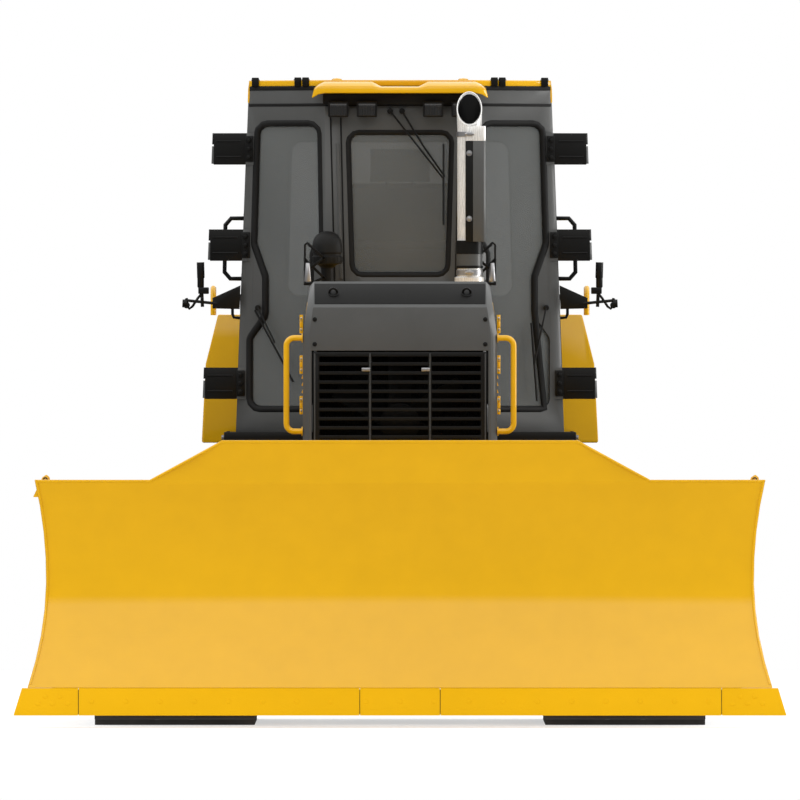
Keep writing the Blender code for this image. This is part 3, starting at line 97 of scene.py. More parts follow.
# ---------------------------------------------------------------- user values
class DozerSizes(bpy.types.PropertyGroup):
    """Sizes that the looks add to the frame."""

    edge_radius: bpy.props.FloatProperty(name="Edge radius", description="Rounding of cut plate edges",
        default=0.003, unit="LENGTH")
    bolt_size: bpy.props.FloatProperty(name="Bolt size",
        description="Width of a bolt head across its flats", default=0.024, unit="LENGTH")
    seal_radius: bpy.props.FloatProperty(name="Window seal",
        description="Half the width of a rubber window seal", default=0.0165, unit="LENGTH")
    shoe_count: bpy.props.IntProperty(name="Shoes", description="Shoes in one track", default=42)
    grouser_height: bpy.props.FloatProperty(name="Grouser height", description="Height of a shoe's grouser",
        default=0.045, unit="LENGTH")
    floor_size: bpy.props.FloatProperty(name="Floor", description="Width of the studio floor", default=60.0,
        unit="LENGTH")
    sky_light: bpy.props.FloatProperty(name="Sky light",
        description="Strength of the studio light from above", default=1.45)
    horizon_light: bpy.props.FloatProperty(name="Horizon light",
        description="Strength of the studio light near the floor", default=0.2)
    view_width: bpy.props.FloatProperty(name="View width", description="Width that the front view takes in",
        default=3.54, unit="LENGTH")
    lens: bpy.props.FloatProperty(name="Lens", description="Focal length in millimetres", default=1600.0)


class DozerColours(bpy.types.PropertyGroup):
    """Colours of the finishes, as linear values."""

    yellow: bpy.props.FloatVectorProperty(name="Yellow", description="Enamel of the blade, hood and frame",
        subtype="COLOR", size=3, default=(0.755, 0.405, 0.003))
    dark: bpy.props.FloatVectorProperty(name="Dark grey", description="Enamel of the cab and nose",
        subtype="COLOR", size=3, default=(0.074, 0.076, 0.075))
    black: bpy.props.FloatVectorProperty(name="Black", description="Moulded plastic and black fittings",
        subtype="COLOR", size=3, default=(0.0065, 0.0065, 0.0062))
    steel: bpy.props.FloatVectorProperty(name="Track steel", description="Shoes and links", subtype="COLOR",
        size=3, default=(0.060, 0.055, 0.050))
    pane: bpy.props.FloatVectorProperty(name="Glass", description="Tint of the window glass",
        subtype="COLOR", size=3, default=(0.155, 0.163, 0.160))


def sizes():
    return bpy.context.scene.dozer_sizes


def colours():
    return bpy.context.scene.dozer_colours


# ------------------------------------------------------------------- modelling
def deselect():
    bpy.ops.object.select_all(action="DESELECT")


def choose(piece):
    """Makes a piece the only one selected, and the active one."""
    deselect()
    piece.select_set(True)
    bpy.context.view_layer.objects.active = piece
    return piece


def named(piece, name):
    piece.name = name
    piece.data.name = name
    return piece


def settle(piece):
    """Puts a piece's place, turn and scale into its mesh."""
    choose(piece)
    bpy.ops.object.transform_apply(location=True, rotation=True, scale=True)
    return piece


def apply_modifier(piece, kind, **values):
    choose(piece)
    step = piece.modifiers.new(kind.lower(), kind)
    for key, value in values.items():
        setattr(step, key, value)
    bpy.ops.object.modifier_apply(modifier=step.name)
    return piece


def round_edges(piece, width=None, segments=2, angle=32):
    width = sizes().edge_radius if width is None else width
    return apply_modifier(piece, "BEVEL", width=width, segments=segments, limit_method="ANGLE",
        angle_limit=math.radians(angle), use_clamp_overlap=True)


def shade(piece, angle=35):
    choose(piece)
    bpy.ops.object.shade_smooth_by_angle(angle=math.radians(angle))
    return piece


def block(name, lowest, highest, rounding=0.002, segments=2):
    """A box between two corners, with rounded edges."""
    lowest = Vector(lowest)
    highest = Vector(highest)
    deselect()
    bpy.ops.mesh.primitive_cube_add(size=1, location=(lowest + highest) / 2)
    piece = named(bpy.context.object, name)
    piece.scale = highest - lowest
    settle(piece)
    return round_edges(piece, rounding, segments) if rounding else piece


def bar(name, start, end, radius, sides=24, rounding=0.0, tip=None):
    """A round bar between two points; tip is its radius at the far end."""
    start = Vector(start)
    end = Vector(end)
    turn = (end - start).to_track_quat("Z", "Y").to_euler()
    place = {"location": (start + end) / 2, "rotation": turn}
    deselect()
    bpy.ops.mesh.primitive_cone_add(vertices=sides, radius1=radius, radius2=radius if tip is None else tip,
        depth=(end - start).length, **place)
    piece = settle(named(bpy.context.object, name))
    return round_edges(piece, rounding, 2, 50) if rounding else piece


def bent(name, points, radius, cyclic=False, rounds=3):
    """A round tube through a list of points."""
    curve = bpy.data.curves.new(name, "CURVE")
    curve.dimensions = "3D"
    curve.bevel_depth = radius
    curve.bevel_resolution = rounds
    curve.use_fill_caps = not cyclic
    line = curve.splines.new("POLY")
    line.points.add(len(points) - 1)
    for point, place in zip(line.points, points):
        point.co = (*place, 1.0)
    line.use_cyclic_u = cyclic
    piece = bpy.data.objects.new(name, curve)
    bpy.context.scene.collection.objects.link(piece)
    choose(piece)
    bpy.ops.object.convert(target="MESH")
    piece = bpy.context.object
    edit_all(piece, lambda: (bpy.ops.mesh.remove_doubles(threshold=0.00001),
        bpy.ops.mesh.normals_make_consistent(inside=False)))
    return named(piece, name)


def edit_all(piece, work):
    """Runs edit-mode work on a whole mesh."""
    choose(piece)
    bpy.ops.object.mode_set(mode="EDIT")
    bpy.ops.mesh.select_all(action="SELECT")
    work()
    bpy.ops.object.mode_set(mode="OBJECT")
    return piece


def turned(name, profile, place, direction=(0, 0, 1), steps=32):
    """A turned shape along a direction, from (radius, height) points out from the place."""
    deselect()
    radius, height = profile[0]
    bpy.ops.mesh.primitive_circle_add(vertices=steps, radius=max(radius, 1e-4), fill_type="NGON",
        location=(0, 0, height))
    piece = settle(named(bpy.context.object, name))

    def draw():
        now, level = max(radius, 1e-4), height
        for reach, top in profile[1:]:
            reach = max(reach, 1e-4)
            bpy.ops.mesh.extrude_region_move(TRANSFORM_OT_translate={"value": (0, 0, top - level)})
            bpy.ops.transform.resize(value=(reach / now, reach / now, 1), center_override=(0, 0, top))
            now, level = reach, top
        bpy.ops.mesh.select_all(action="SELECT")
        bpy.ops.mesh.normals_make_consistent(inside=False)

    edit_all(piece, draw)
    piece.data.transform(facing(Vector(place), direction))
    return piece


def plate(name, outline, axis, start, end, rounding=0.0015):
    """An outline across an axis, extruded from start to end along it."""
    def put(u, v, w):
        return Vector({"X": (w, u, v), "Y": (u, w, v), "Z": (u, v, w)}[axis])
    deselect()
    bpy.ops.mesh.primitive_circle_add(vertices=len(outline), radius=1, fill_type="NGON")
    piece = named(bpy.context.object, name)
    for corner, (u, v) in zip(piece.data.vertices, outline):
        corner.co = put(u, v, start)

    def extrude():
        bpy.ops.mesh.extrude_region_move(TRANSFORM_OT_translate={"value": put(0, 0, end - start)})
        bpy.ops.mesh.select_all(action="SELECT")
        bpy.ops.mesh.normals_make_consistent(inside=False)

    edit_all(piece, extrude)
    return round_edges(piece, rounding) if rounding else piece


def lofted(name, sections, rounding=0.0015):
    """A solid through closed outlines of equal counts, with flat ends."""
    rows, count = len(sections), len(sections[0])
    deselect()
    bpy.ops.mesh.primitive_grid_add(x_subdivisions=count, y_subdivisions=rows - 1, size=1)
    piece = named(bpy.context.object, name)
    if len(piece.data.vertices) != rows * (count + 1):
        raise RuntimeError(f"{name}: the grid has {len(piece.data.vertices)} corners")
    for row, outline in enumerate(sections):
        for column in range(count + 1):
            piece.data.vertices[row * (count + 1) + column].co = outline[column % count]

    def close():
        bpy.ops.mesh.remove_doubles(threshold=0.00001)
        bpy.ops.mesh.select_all(action="SELECT")
        bpy.ops.mesh.fill_holes(sides=0)
        bpy.ops.mesh.select_all(action="SELECT")
        bpy.ops.mesh.normals_make_consistent(inside=False)

    edit_all(piece, close)
    return round_edges(piece, rounding) if rounding else piece


def together(name, parts):
    """Joins pieces into one object."""
    parts = [part for part in parts if part]
    deselect()
    for part in parts:
        part.select_set(True)
    bpy.context.view_layer.objects.active = parts[0]
    if len(parts) > 1:
        bpy.ops.object.join()
    return named(bpy.context.object, name)


def repeated(name, model, places):
    """One mesh made of a model's copies at a list of matrices. The model is used up."""
    shape = bmesh.new()
    for place in places:
        copy = model.data.copy()
        copy.transform(place)
        shape.from_mesh(copy)
        bpy.data.meshes.remove(copy)
    mesh = bpy.data.meshes.new(name)
    shape.to_mesh(mesh)
    shape.free()
    for material in model.data.materials:
        mesh.materials.append(material)
    piece = bpy.data.objects.new(name, mesh)
    bpy.context.scene.collection.objects.link(piece)
    bpy.data.objects.remove(model, do_unlink=True)
    return piece


def facing(place, direction):
    """The matrix that puts a model drawn along +Z at a place, pointing in a direction."""
    turn = Vector(direction).to_track_quat("Z", "Y").to_matrix().to_4x4()
    return Matrix.Translation(place) @ turn


def bolt_model(size):
    """A hexagon head on its washer, standing on z = 0."""
    head = bar("head", (0, 0, size * 0.12), (0, 0, size * 0.72), size * 0.577, 6, size * 0.05)
    washer = bar("washer", (0, 0, 0), (0, 0, size * 0.13), size * 0.82, 20)
    return shade(together("bolt", [head, washer]), 30)


def bolts(name, places, direction, size=None):
    """A set of hexagon bolts facing one way."""
    size = sizes().bolt_size if size is None else size
    return repeated(name, bolt_model(size), [facing(place, direction) for place in places])


def fit(piece, body, material, angle=35, smooth=True):
    """Gives a finished piece its shading, material and body."""
    if smooth:
        shade(piece, angle)
    piece.data.materials.clear()
    piece.data.materials.append(material)
    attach(piece, body)
    return piece


def show(name, parts, finish_of, angle=35, body=CHASSIS):
    """Joins parts into one finished piece with a finish and a body."""
    return fit(together(name, parts), body, finish_of(), angle)


def refined(node, name, material, rounding=0.003, segments=2, angle=35, work=None):
    """A CAD node's shape with merged faces and rounded edges, shown in its place."""
    piece = named(cad_copy(name, node), name)

    def merge():
        bpy.ops.mesh.remove_doubles(threshold=MERGE)
        bpy.ops.mesh.dissolve_limited(angle_limit=FLAT, delimit={"NORMAL"})

    edit_all(piece, merge)
    if work:
        edit_all(piece, work)
    if rounding:
        round_edges(piece, rounding, segments, angle)
    clear_normals(piece)
    fit(piece, frame["nodes"][node]["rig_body"], material, angle)
    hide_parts(node)
    return piece


def cad_copy(name, node):
    """A CAD node's shape as a new piece."""
    piece = bpy.data.objects.new(name, frame["nodes"][node].data.copy())
    bpy.context.scene.collection.objects.link(piece)
    return piece


def clear_normals(piece):
    """Drops the normals that came with a CAD shape."""
    choose(piece)
    bpy.ops.mesh.customdata_custom_splitnormals_clear()


def chamfer_nose():
    """Takes off the nose's two upright front corners, in edit mode."""
    width = high("hood_front").x
    shape = bmesh.from_edit_mesh(bpy.context.edit_object.data)
    bpy.ops.mesh.select_all(action="DESELECT")
    for edge in shape.edges:
        start, end = (corner.co for corner in edge.verts)
        outer = min(abs(start.x), abs(end.x)) > width - 0.034 and abs(start.x - end.x) < 0.04
        ahead = min(start.y, end.y) < low("hood_front").y + 0.002
        edge.select = outer and ahead and abs(start.z - end.z) > 0.05
    bpy.ops.mesh.bevel(offset=0.028, segments=1, affect="EDGES")


def surface(node, x, z):
    """The point and outward normal that a CAD node shows to the front."""
    mesh = frame["nodes"][node].data
    tree = BVHTree.FromPolygons([corner.co for corner in mesh.vertices],
        [face.vertices for face in mesh.polygons])
    place, normal, _, _ = tree.ray_cast(Vector((x, -6.0, z)), Vector((0, 1, 0)))
    if place is None:
        raise RuntimeError(f"{node} has no surface at {x:.3f}, {z:.3f}")
    return place, normal if normal.y < 0 else -normal


def rim(node, direction):
    """The corners, in order, of a node's largest face that looks in a direction."""
    mesh = frame["nodes"][node].data
    shape = bmesh.new()
    shape.from_mesh(mesh)
    bmesh.ops.remove_doubles(shape, verts=shape.verts, dist=MERGE)
    bmesh.ops.dissolve_limit(shape, angle_limit=math.radians(1.5), verts=shape.verts, edges=shape.edges)
    wanted = Vector(direction).normalized()
    faces = [face for face in shape.faces if face.normal.dot(wanted) > 0.7]
    largest = max(faces, key=lambda face: face.calc_area())
    points = [corner.co.copy() for corner in largest.verts]
    normal = largest.normal.copy()
    shape.free()
    return points, normal


def pane_seal(name, node, direction, body, radius=None):
    """A rubber bead round the edge of a pane's outer face."""
    radius = sizes().seal_radius if radius is None else radius
    points, normal = rim(node, direction)
    points = [point + normal * radius * 0.15 for point in points]
    bead = bent(name, points, radius, cyclic=True, rounds=2)
    return fit(bead, body, rubber(), 60)


MID_Y = low("hood_front").y + 1.62  # the undercarriage's middle; places along Y are given from it


def at(x, y, z):
    return Vector((x, y + MID_Y, z))


# ------------------------------------------------------------------- materials
def node_group(name, inputs, outputs):
    """A shader node group with its sockets, and its two end nodes."""
    group = bpy.data.node_groups.new(name, "ShaderNodeTree")
    for label, kind, value in inputs:
        socket = group.interface.new_socket(label, in_out="INPUT", socket_type=kind)
        if value is not None:
            socket.default_value = value
    for label, kind in outputs:
        group.interface.new_socket(label, in_out="OUTPUT", socket_type=kind)
    return group, group.nodes.new("NodeGroupInput"), group.nodes.new("NodeGroupOutput")


def add(tree, kind, inputs=None, **values):
    """A node with its settings, and its inputs linked or set."""
    node = tree.nodes.new(kind)
    for key, value in values.items():
        setattr(node, key, value)
    for key, value in (inputs or {}).items():
        if isinstance(value, bpy.types.NodeSocket):
            tree.links.new(value, node.inputs[key])
        else:
            node.inputs[key].default_value = value
    return node


def noise(tree, vector, scale, detail=3.0, stretch=None):
    """The grey value of a noise, stretched along the axes when asked."""
    if stretch:
        vector = add(tree, "ShaderNodeMapping", {"Vector": vector, "Scale": stretch}).outputs["Vector"]
    return add(tree, "ShaderNodeTexNoise", {"Vector": vector, "Scale": scale,
        "Detail": detail}).outputs["Fac"]


def spread(tree, value, lowest, highest, start=0.25, end=0.75):
    """A value's middle part spread over a new range."""
    return add(tree, "ShaderNodeMapRange", {"Value": value, "From Min": start, "From Max": end,
        "To Min": lowest, "To Max": highest}).outputs["Result"]


def mixed(tree, share, first, second):
    node = add(tree, "ShaderNodeMix", {"Factor": share}, data_type="RGBA")
    for index, value in ((6, first), (7, second)):
        if isinstance(value, bpy.types.NodeSocket):
            tree.links.new(value, node.inputs[index])
        else:
            node.inputs[index].default_value = value
    return node.outputs[2]


def bump(tree, height, strength, distance, normal=None):
    inputs = {"Height": height, "Strength": strength, "Distance": distance}
    if normal is not None:
        inputs["Normal"] = normal
    return add(tree, "ShaderNodeBump", inputs).outputs["Normal"]


def grown(colour, by):
    return (*[min(1.0, value * by) for value in colour], 1.0)


def paint_effect():
    """Sprayed enamel: slight drift of the colour, orange peel, and a drift of the gloss."""
    name = "sprayed_enamel"
    if name in bpy.data.node_groups:
        return bpy.data.node_groups[name]
    group, start, end = node_group(name, [("Colour", "NodeSocketColor", None),
        ("Deep", "NodeSocketColor", None), ("Dullest", "NodeSocketFloat", 0.42),
        ("Glossiest", "NodeSocketFloat", 0.3), ("Peel", "NodeSocketFloat", 0.04)],
        [("Colour", "NodeSocketColor"), ("Roughness", "NodeSocketFloat"), ("Normal", "NodeSocketVector")])
    place = add(group, "ShaderNodeTexCoord").outputs["Object"]
    drift = spread(group, noise(group, place, 1.6, 4.0), 0.0, 0.5)
    cloud = spread(group, noise(group, place, 9.0, 5.0), 0.0, 0.5)
    total = add(group, "ShaderNodeMath", {0: drift, 1: cloud}, operation="ADD").outputs[0]
    colour = mixed(group, total, start.outputs["Colour"], start.outputs["Deep"])
    gloss = add(group, "ShaderNodeMapRange", {"Value": noise(group, place, 4.0, 6.0), "From Min": 0.3,
        "From Max": 0.7, "To Min": start.outputs["Glossiest"],
        "To Max": start.outputs["Dullest"]}).outputs["Result"]
    peel = bump(group, noise(group, place, 420.0, 2.0), start.outputs["Peel"], 0.0006)
    wave = bump(group, noise(group, place, 14.0, 2.0), 0.05, 0.002, peel)
    for label, value in (("Colour", colour), ("Roughness", gloss), ("Normal", wave)):
        group.links.new(value, end.inputs[label])
    return group


def grain_effect():
    """A fine moulded or cast grain with a drift of its colour and gloss."""
    name = "moulded_grain"
    if name in bpy.data.node_groups:
        return bpy.data.node_groups[name]
    group, start, end = node_group(name, [("Colour", "NodeSocketColor", None),
        ("Pale", "NodeSocketColor", None), ("Fineness", "NodeSocketFloat", 600.0),
        ("Depth", "NodeSocketFloat", 0.25), ("Gloss", "NodeSocketFloat", 0.5)],
        [("Colour", "NodeSocketColor"), ("Roughness", "NodeSocketFloat"), ("Normal", "NodeSocketVector")])
    place = add(group, "ShaderNodeTexCoord").outputs["Object"]
    cells = add(group, "ShaderNodeTexVoronoi", {"Vector": place, "Scale": start.outputs["Fineness"]},
        feature="F1").outputs["Distance"]
    cloud = noise(group, place, 7.0, 6.0)
    colour = mixed(group, spread(group, cloud, 0.0, 1.0), start.outputs["Colour"], start.outputs["Pale"])
    roughness = add(group, "ShaderNodeMath", {0: start.outputs["Gloss"],
        1: spread(group, cloud, -0.07, 0.07)}, operation="ADD").outputs[0]
    normal = bump(group, cells, start.outputs["Depth"], 0.0006)
    normal = bump(group, noise(group, place, 60.0, 4.0), 0.08, 0.002, normal)
    for label, value in (("Colour", colour), ("Roughness", roughness), ("Normal", normal)):
        group.links.new(value, end.inputs[label])
    return group


def finish(name, effect, sockets, shader):
    """A material: an effect group for colour, roughness and normal, and constants on the shader."""
    if name in bpy.data.materials:
        return bpy.data.materials[name]
    material = bpy.data.materials.new(name)
    material.use_nodes = True
    tree = material.node_tree
    principled = tree.nodes["Principled BSDF"]
    group = tree.nodes.new("ShaderNodeGroup")
    group.node_tree = effect
    for label, value in sockets.items():
        group.inputs[label].default_value = value
    tree.links.new(group.outputs["Colour"], principled.inputs["Base Color"])
    tree.links.new(group.outputs["Roughness"], principled.inputs["Roughness"])
    tree.links.new(group.outputs["Normal"], principled.inputs["Normal"])
    for label, value in shader.items():
        principled.inputs[label].default_value = value
    material.diffuse_color = sockets["Colour"]
    return material


def new_material(name):
    """A new material with its node tree, its shader and the piece's own coordinates."""
    material = bpy.data.materials.new(name)
    material.use_nodes = True
    tree = material.node_tree
    return material, tree, tree.nodes["Principled BSDF"], add(tree, "ShaderNodeTexCoord").outputs["Object"]


def keep(principled, values):
    """Sets constants on a shader's sockets."""
    for label, value in values.items():
        principled.inputs[label].default_value = value


def yellow_enamel():
    colour = colours().yellow
    return finish("yellow_enamel", paint_effect(), {"Colour": grown(colour, 1.03),
        "Deep": grown(colour, 0.93), "Dullest": 0.50, "Glossiest": 0.38},
        {"Coat Weight": 1.0, "Coat Roughness": 0.03, "Specular IOR Level": 0.05})


def edge_enamel():
    """The flatter enamel of the cutting edges."""
    colour = colours().yellow
    return finish("edge_enamel", paint_effect(), {"Colour": grown(colour, 1.04),
        "Deep": grown(colour, 0.97), "Dullest": 0.6, "Glossiest": 0.48}, {"Specular IOR Level": 0.06})


def grey_enamel():
    colour = colours().dark
    return finish("grey_enamel", paint_effect(), {"Colour": grown(colour, 1.08),
        "Deep": grown(colour, 0.88), "Dullest": 0.50, "Glossiest": 0.38, "Peel": 0.09},
        {"Coat Weight": 0.25, "Coat Roughness": 0.1, "Specular IOR Level": 0.3})


def black_enamel():
    return finish("black_enamel", paint_effect(), {"Colour": (0.0085, 0.0085, 0.0080, 1),
        "Deep": (0.006, 0.006, 0.006, 1), "Dullest": 0.42, "Glossiest": 0.30, "Peel": 0.06},
        {"Specular IOR Level": 0.18})


def moulded_plastic():
    colour = colours().black
    return finish("moulded_plastic", grain_effect(), {"Colour": grown(colour, 1.0),
        "Pale": grown(colour, 1.6), "Fineness": 700.0, "Gloss": 0.5}, {"Specular IOR Level": 0.18})


def rubber():
    return finish("window_rubber", grain_effect(), {"Colour": (0.007, 0.007, 0.007, 1),
        "Pale": (0.012, 0.012, 0.012, 1), "Fineness": 900.0, "Gloss": 0.6, "Depth": 0.15},
        {"Specular IOR Level": 0.2})


def forged_steel():
    colour = colours().steel
    return finish("forged_steel", grain_effect(), {"Colour": grown(colour, 0.8), "Pale": grown(colour, 1.5),
        "Fineness": 260.0, "Gloss": 0.52, "Depth": 0.35}, {"Metallic": 0.55})


def cast_iron():
    return finish("cast_iron", grain_effect(), {"Colour": (0.035, 0.036, 0.036, 1),
        "Pale": (0.055, 0.055, 0.055, 1), "Fineness": 330.0, "Gloss": 0.6, "Depth": 0.5},
        {"Metallic": 0.2})


def streaked(name, colour, pale, gloss, stretch, depth, shader):
    """A drawn or brushed metal with fine streaks along one axis."""
    if name in bpy.data.materials:
        return bpy.data.materials[name]
    material, tree, principled, place = new_material(name)
    streak = noise(tree, place, 90.0, 4.0, stretch)
    cloud = noise(tree, place, 6.0, 4.0)
    tree.links.new(mixed(tree, spread(tree, cloud, 0, 1), colour, pale), principled.inputs["Base Color"])
    tree.links.new(spread(tree, streak, gloss - 0.06, gloss + 0.08), principled.inputs["Roughness"])
    tree.links.new(bump(tree, streak, depth, 0.0004), principled.inputs["Normal"])
    for label, value in shader.items():
        principled.inputs[label].default_value = value
    return material


def stainless():
    return streaked("stainless_tube", (0.80, 0.79, 0.76, 1), (0.92, 0.91, 0.89, 1), 0.26, (6, 6, 0.2), 0.12,
        {"Metallic": 0.3})


def chrome():
    return streaked("hard_chrome", (0.74, 0.75, 0.77, 1), (0.80, 0.81, 0.83, 1), 0.12, (8, 0.3, 8), 0.04,
        {"Metallic": 1.0})


def zinc():
    return streaked("zinc_plate", (0.42, 0.42, 0.43, 1), (0.52, 0.52, 0.53, 1), 0.36, (2, 2, 2), 0.10,
        {"Metallic": 0.9})


def pane_glass():
    """Grey tinted glass, seen through, with a faint ripple in its gloss."""
    if "tinted_pane" in bpy.data.materials:
        return bpy.data.materials["tinted_pane"]
    material, tree, principled, place = new_material("tinted_pane")
    ripple = noise(tree, place, 2.2, 2.0)
    tint = colours().pane
    tree.links.new(mixed(tree, spread(tree, ripple, 0, 1), grown(tint, 0.9), grown(tint, 1.1)),
        principled.inputs["Base Color"])
    tree.links.new(spread(tree, ripple, 0.03, 0.06), principled.inputs["Roughness"])
    tree.links.new(bump(tree, ripple, 0.01, 0.001), principled.inputs["Normal"])
    keep(principled, {"Alpha": 0.62, "Specular IOR Level": 0.5})
    material.surface_render_method = "BLENDED"
    return material


def lens_glass():
    """A lamp's clear ribbed lens over its reflector."""
    if "lamp_lens" in bpy.data.materials:
        return bpy.data.materials["lamp_lens"]
    material, tree, principled, place = new_material("lamp_lens")
    ribs = add(tree, "ShaderNodeTexWave", {"Vector": place, "Scale": 60.0, "Distortion": 0.0},
        bands_direction="X").outputs["Fac"]
    tree.links.new(mixed(tree, ribs, (0.50, 0.52, 0.53, 1), (0.80, 0.82, 0.83, 1)),
        principled.inputs["Base Color"])
    tree.links.new(bump(tree, ribs, 0.4, 0.001), principled.inputs["Normal"])
    keep(principled, {"Roughness": 0.12, "Metallic": 0.5, "Coat Weight": 1.0})
    return material


def cloth(name, dark, pale):
    """Woven seat cloth: crossing threads that follow the piece's own place, with a soft sheen."""
    if name in bpy.data.materials:
        return bpy.data.materials[name]
    material, tree, principled, place = new_material(name)
    across = add(tree, "ShaderNodeTexWave", {"Vector": place, "Scale": 190.0, "Distortion": 0.6},
        bands_direction="X").outputs["Fac"]
    along = add(tree, "ShaderNodeTexWave", {"Vector": place, "Scale": 190.0, "Distortion": 0.6},
        bands_direction="DIAGONAL").outputs["Fac"]
    weave = add(tree, "ShaderNodeMath", {0: across, 1: along}, operation="MULTIPLY").outputs[0]
    cloud = noise(tree, place, 12.0, 5.0)
    shadeway = add(tree, "ShaderNodeMath", {0: weave, 1: spread(tree, cloud, 0.0, 0.4)},
        operation="ADD").outputs[0]
    tree.links.new(mixed(tree, shadeway, dark, pale), principled.inputs["Base Color"])
    tree.links.new(bump(tree, weave, 0.5, 0.0008), principled.inputs["Normal"])
    keep(principled, {"Roughness": 0.88, "Sheen Weight": 0.35, "Sheen Roughness": 0.5})
    return material


def seat_cloth():
    return cloth("seat_cloth", (0.018, 0.018, 0.020, 1), (0.045, 0.045, 0.05, 1))


def core_fins():
    """The radiator's fins and tubes as a fine ribbed face."""
    if "radiator_core" in bpy.data.materials:
        return bpy.data.materials["radiator_core"]
    material, tree, principled, place = new_material("radiator_core")
    fins = add(tree, "ShaderNodeTexWave", {"Vector": place, "Scale": 80.0},
        bands_direction="Z").outputs["Fac"]
    tubes = add(tree, "ShaderNodeTexWave", {"Vector": place, "Scale": 26.0},
        bands_direction="X").outputs["Fac"]
    total = add(tree, "ShaderNodeMath", {0: fins, 1: tubes}, operation="MULTIPLY").outputs[0]
    tree.links.new(mixed(tree, total, (0.006, 0.006, 0.006, 1), (0.022, 0.022, 0.022, 1)),
        principled.inputs["Base Color"])
    tree.links.new(bump(tree, total, 0.8, 0.003), principled.inputs["Normal"])
    keep(principled, {"Roughness": 0.5, "Metallic": 0.6})
    return material


def floor_paint():
    return finish("studio_floor", grain_effect(), {"Colour": (0.46, 0.46, 0.46, 1),
        "Pale": (0.50, 0.50, 0.50, 1), "Fineness": 40.0, "Gloss": 0.85, "Depth": 0.02},
        {"Specular IOR Level": 0.1, "Emission Color": (1, 1, 1, 1), "Emission Strength": 0.55})


def smoked_lens():
    """The dark lens of a lamp that is off."""
    if "smoked_lens" in bpy.data.materials:
        return bpy.data.materials["smoked_lens"]
    material, tree, principled, place = new_material("smoked_lens")
    ribs = add(tree, "ShaderNodeTexWave", {"Vector": place, "Scale": 45.0},
        bands_direction="X").outputs["Fac"]
    tree.links.new(mixed(tree, ribs, (0.010, 0.010, 0.010, 1), (0.022, 0.022, 0.022, 1)),
        principled.inputs["Base Color"])
    tree.links.new(bump(tree, ribs, 0.5, 0.001), principled.inputs["Normal"])
    keep(principled, {"Roughness": 0.15, "Coat Weight": 0.3})
    return material


# ---------------------------------------------------------------------- pieces
class DOZER_OT_shell(bpy.types.Operator):
    """Shows the frame's plates and castings with rounded edges and their finishes"""
    bl_idname = "dozer.shell"
    bl_label = "Plates and castings"

    def execute(self, context):
        yellow, grey, black = yellow_enamel(), grey_enamel(), black_enamel()
        steel = cast_iron()
        for node, rounding in (("blade", 0.005), ("push_frame", 0.006), ("blade_yoke", 0.005),
                ("hood", 0.004), ("rear_fuel_tank", 0.008), ("engine_door_left", 0.004),
                ("engine_door_right", 0.004)):
            refined(node, f"{node}_plates", yellow, rounding)
        self.cab_frame()
        refined("hood_front", "hood_front_plates", grey, 0.003, work=chamfer_nose)
        for node, rounding in (("cab_door_left", 0.003), ("cab_door_right", 0.003), ("main_frame", 0.006),
                ("hitch", 0.005), ("final_drive_left", 0.008), ("final_drive_right", 0.008),
                ("lift_bracket_left", 0.004), ("lift_bracket_right", 0.004)):
            refined(node, f"{node}_plates", grey, rounding)
        for node, rounding in (("grille_door", 0.0015), ("deck", 0.004), ("console", 0.008),
                ("mirror_bracket_left", 0.002), ("mirror_bracket_right", 0.002)):
            refined(node, f"{node}_shape", black, rounding)
        for node in ("track_frame_left", "track_frame_right"):
            refined(node, f"{node}_plates", yellow, 0.004)
        for node in ("sprocket_left", "sprocket_right"):
            refined(node, f"{node}_shape", steel, 0.004)
        # The fan takes the black plastic so that it stays dark behind the grille: painted shade of the
        # recess behind the grille.
        refined("fan", "fan_blades", moulded_plastic(), 0.001)
        refined("engine", "engine_block", steel, 0.02)
        refined("radiator", "radiator_core_block", core_fins(), 0.003)
        for node in ("windshield", "rear_window", "quarter_window_left", "quarter_window_right",
                "cab_door_glass_left", "cab_door_glass_right"):
            refined(node, f"{node}_pane", pane_glass(), 0.001, 1)
        return {"FINISHED"}

    def cab_frame(self):
        """The cab's frame, with its black hinge plates and handles cut from it as their own pieces."""
        lean = Vector((1, 0,
            (cab_half(CAB_BASE_Z) - cab_half(CAB_HEAD_Z)) / (CAB_HEAD_Z - CAB_BASE_Z))).normalized()
        for name, keep, material, slot in (("cab_frame_plates", 0, grey_enamel(), "dark_grey"),
                ("hinge_plates_left", 1, black_enamel(), "black_plastic"),
                ("hinge_plates_right", -1, black_enamel(), "black_plastic")):
            piece = cad_copy(name, "cab_frame")

            def cut():
                bpy.ops.mesh.remove_doubles(threshold=MERGE)
                for side in (keep,) if keep else (1, -1):
                    bpy.ops.mesh.select_all(action="SELECT")
                    bpy.ops.mesh.bisect(plane_co=(side * (cab_half(CAB_BASE_Z) + 0.0015), 0, CAB_BASE_Z),
                        plane_no=(side * lean.x, 0, lean.z), clear_outer=not keep, clear_inner=bool(keep),
                        use_fill=True)
                bpy.ops.mesh.select_all(action="SELECT")
                bpy.ops.mesh.dissolve_limited(angle_limit=FLAT, delimit={"NORMAL"})

            edit_all(piece, cut)
            clear_normals(piece)
            round_edges(piece, 0.003)
            fit(piece, CHASSIS, material)
            if not keep:
                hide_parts("cab_frame")


def split_across(source, spans):
    """Copies of a piece cut to spans along X, so that its seams show."""
    parts = []
    for left, right in spans:
        part = bpy.data.objects.new("span", source.data.copy())
        bpy.context.scene.collection.objects.link(part)

        def trim():
            bpy.ops.mesh.bisect(plane_co=(left, 0, 0), plane_no=(1, 0, 0), use_fill=True, clear_inner=True)
            bpy.ops.mesh.select_all(action="SELECT")
            bpy.ops.mesh.bisect(plane_co=(right, 0, 0), plane_no=(1, 0, 0), use_fill=True, clear_outer=True)

        edit_all(part, trim)
        parts.append(part)
    return parts


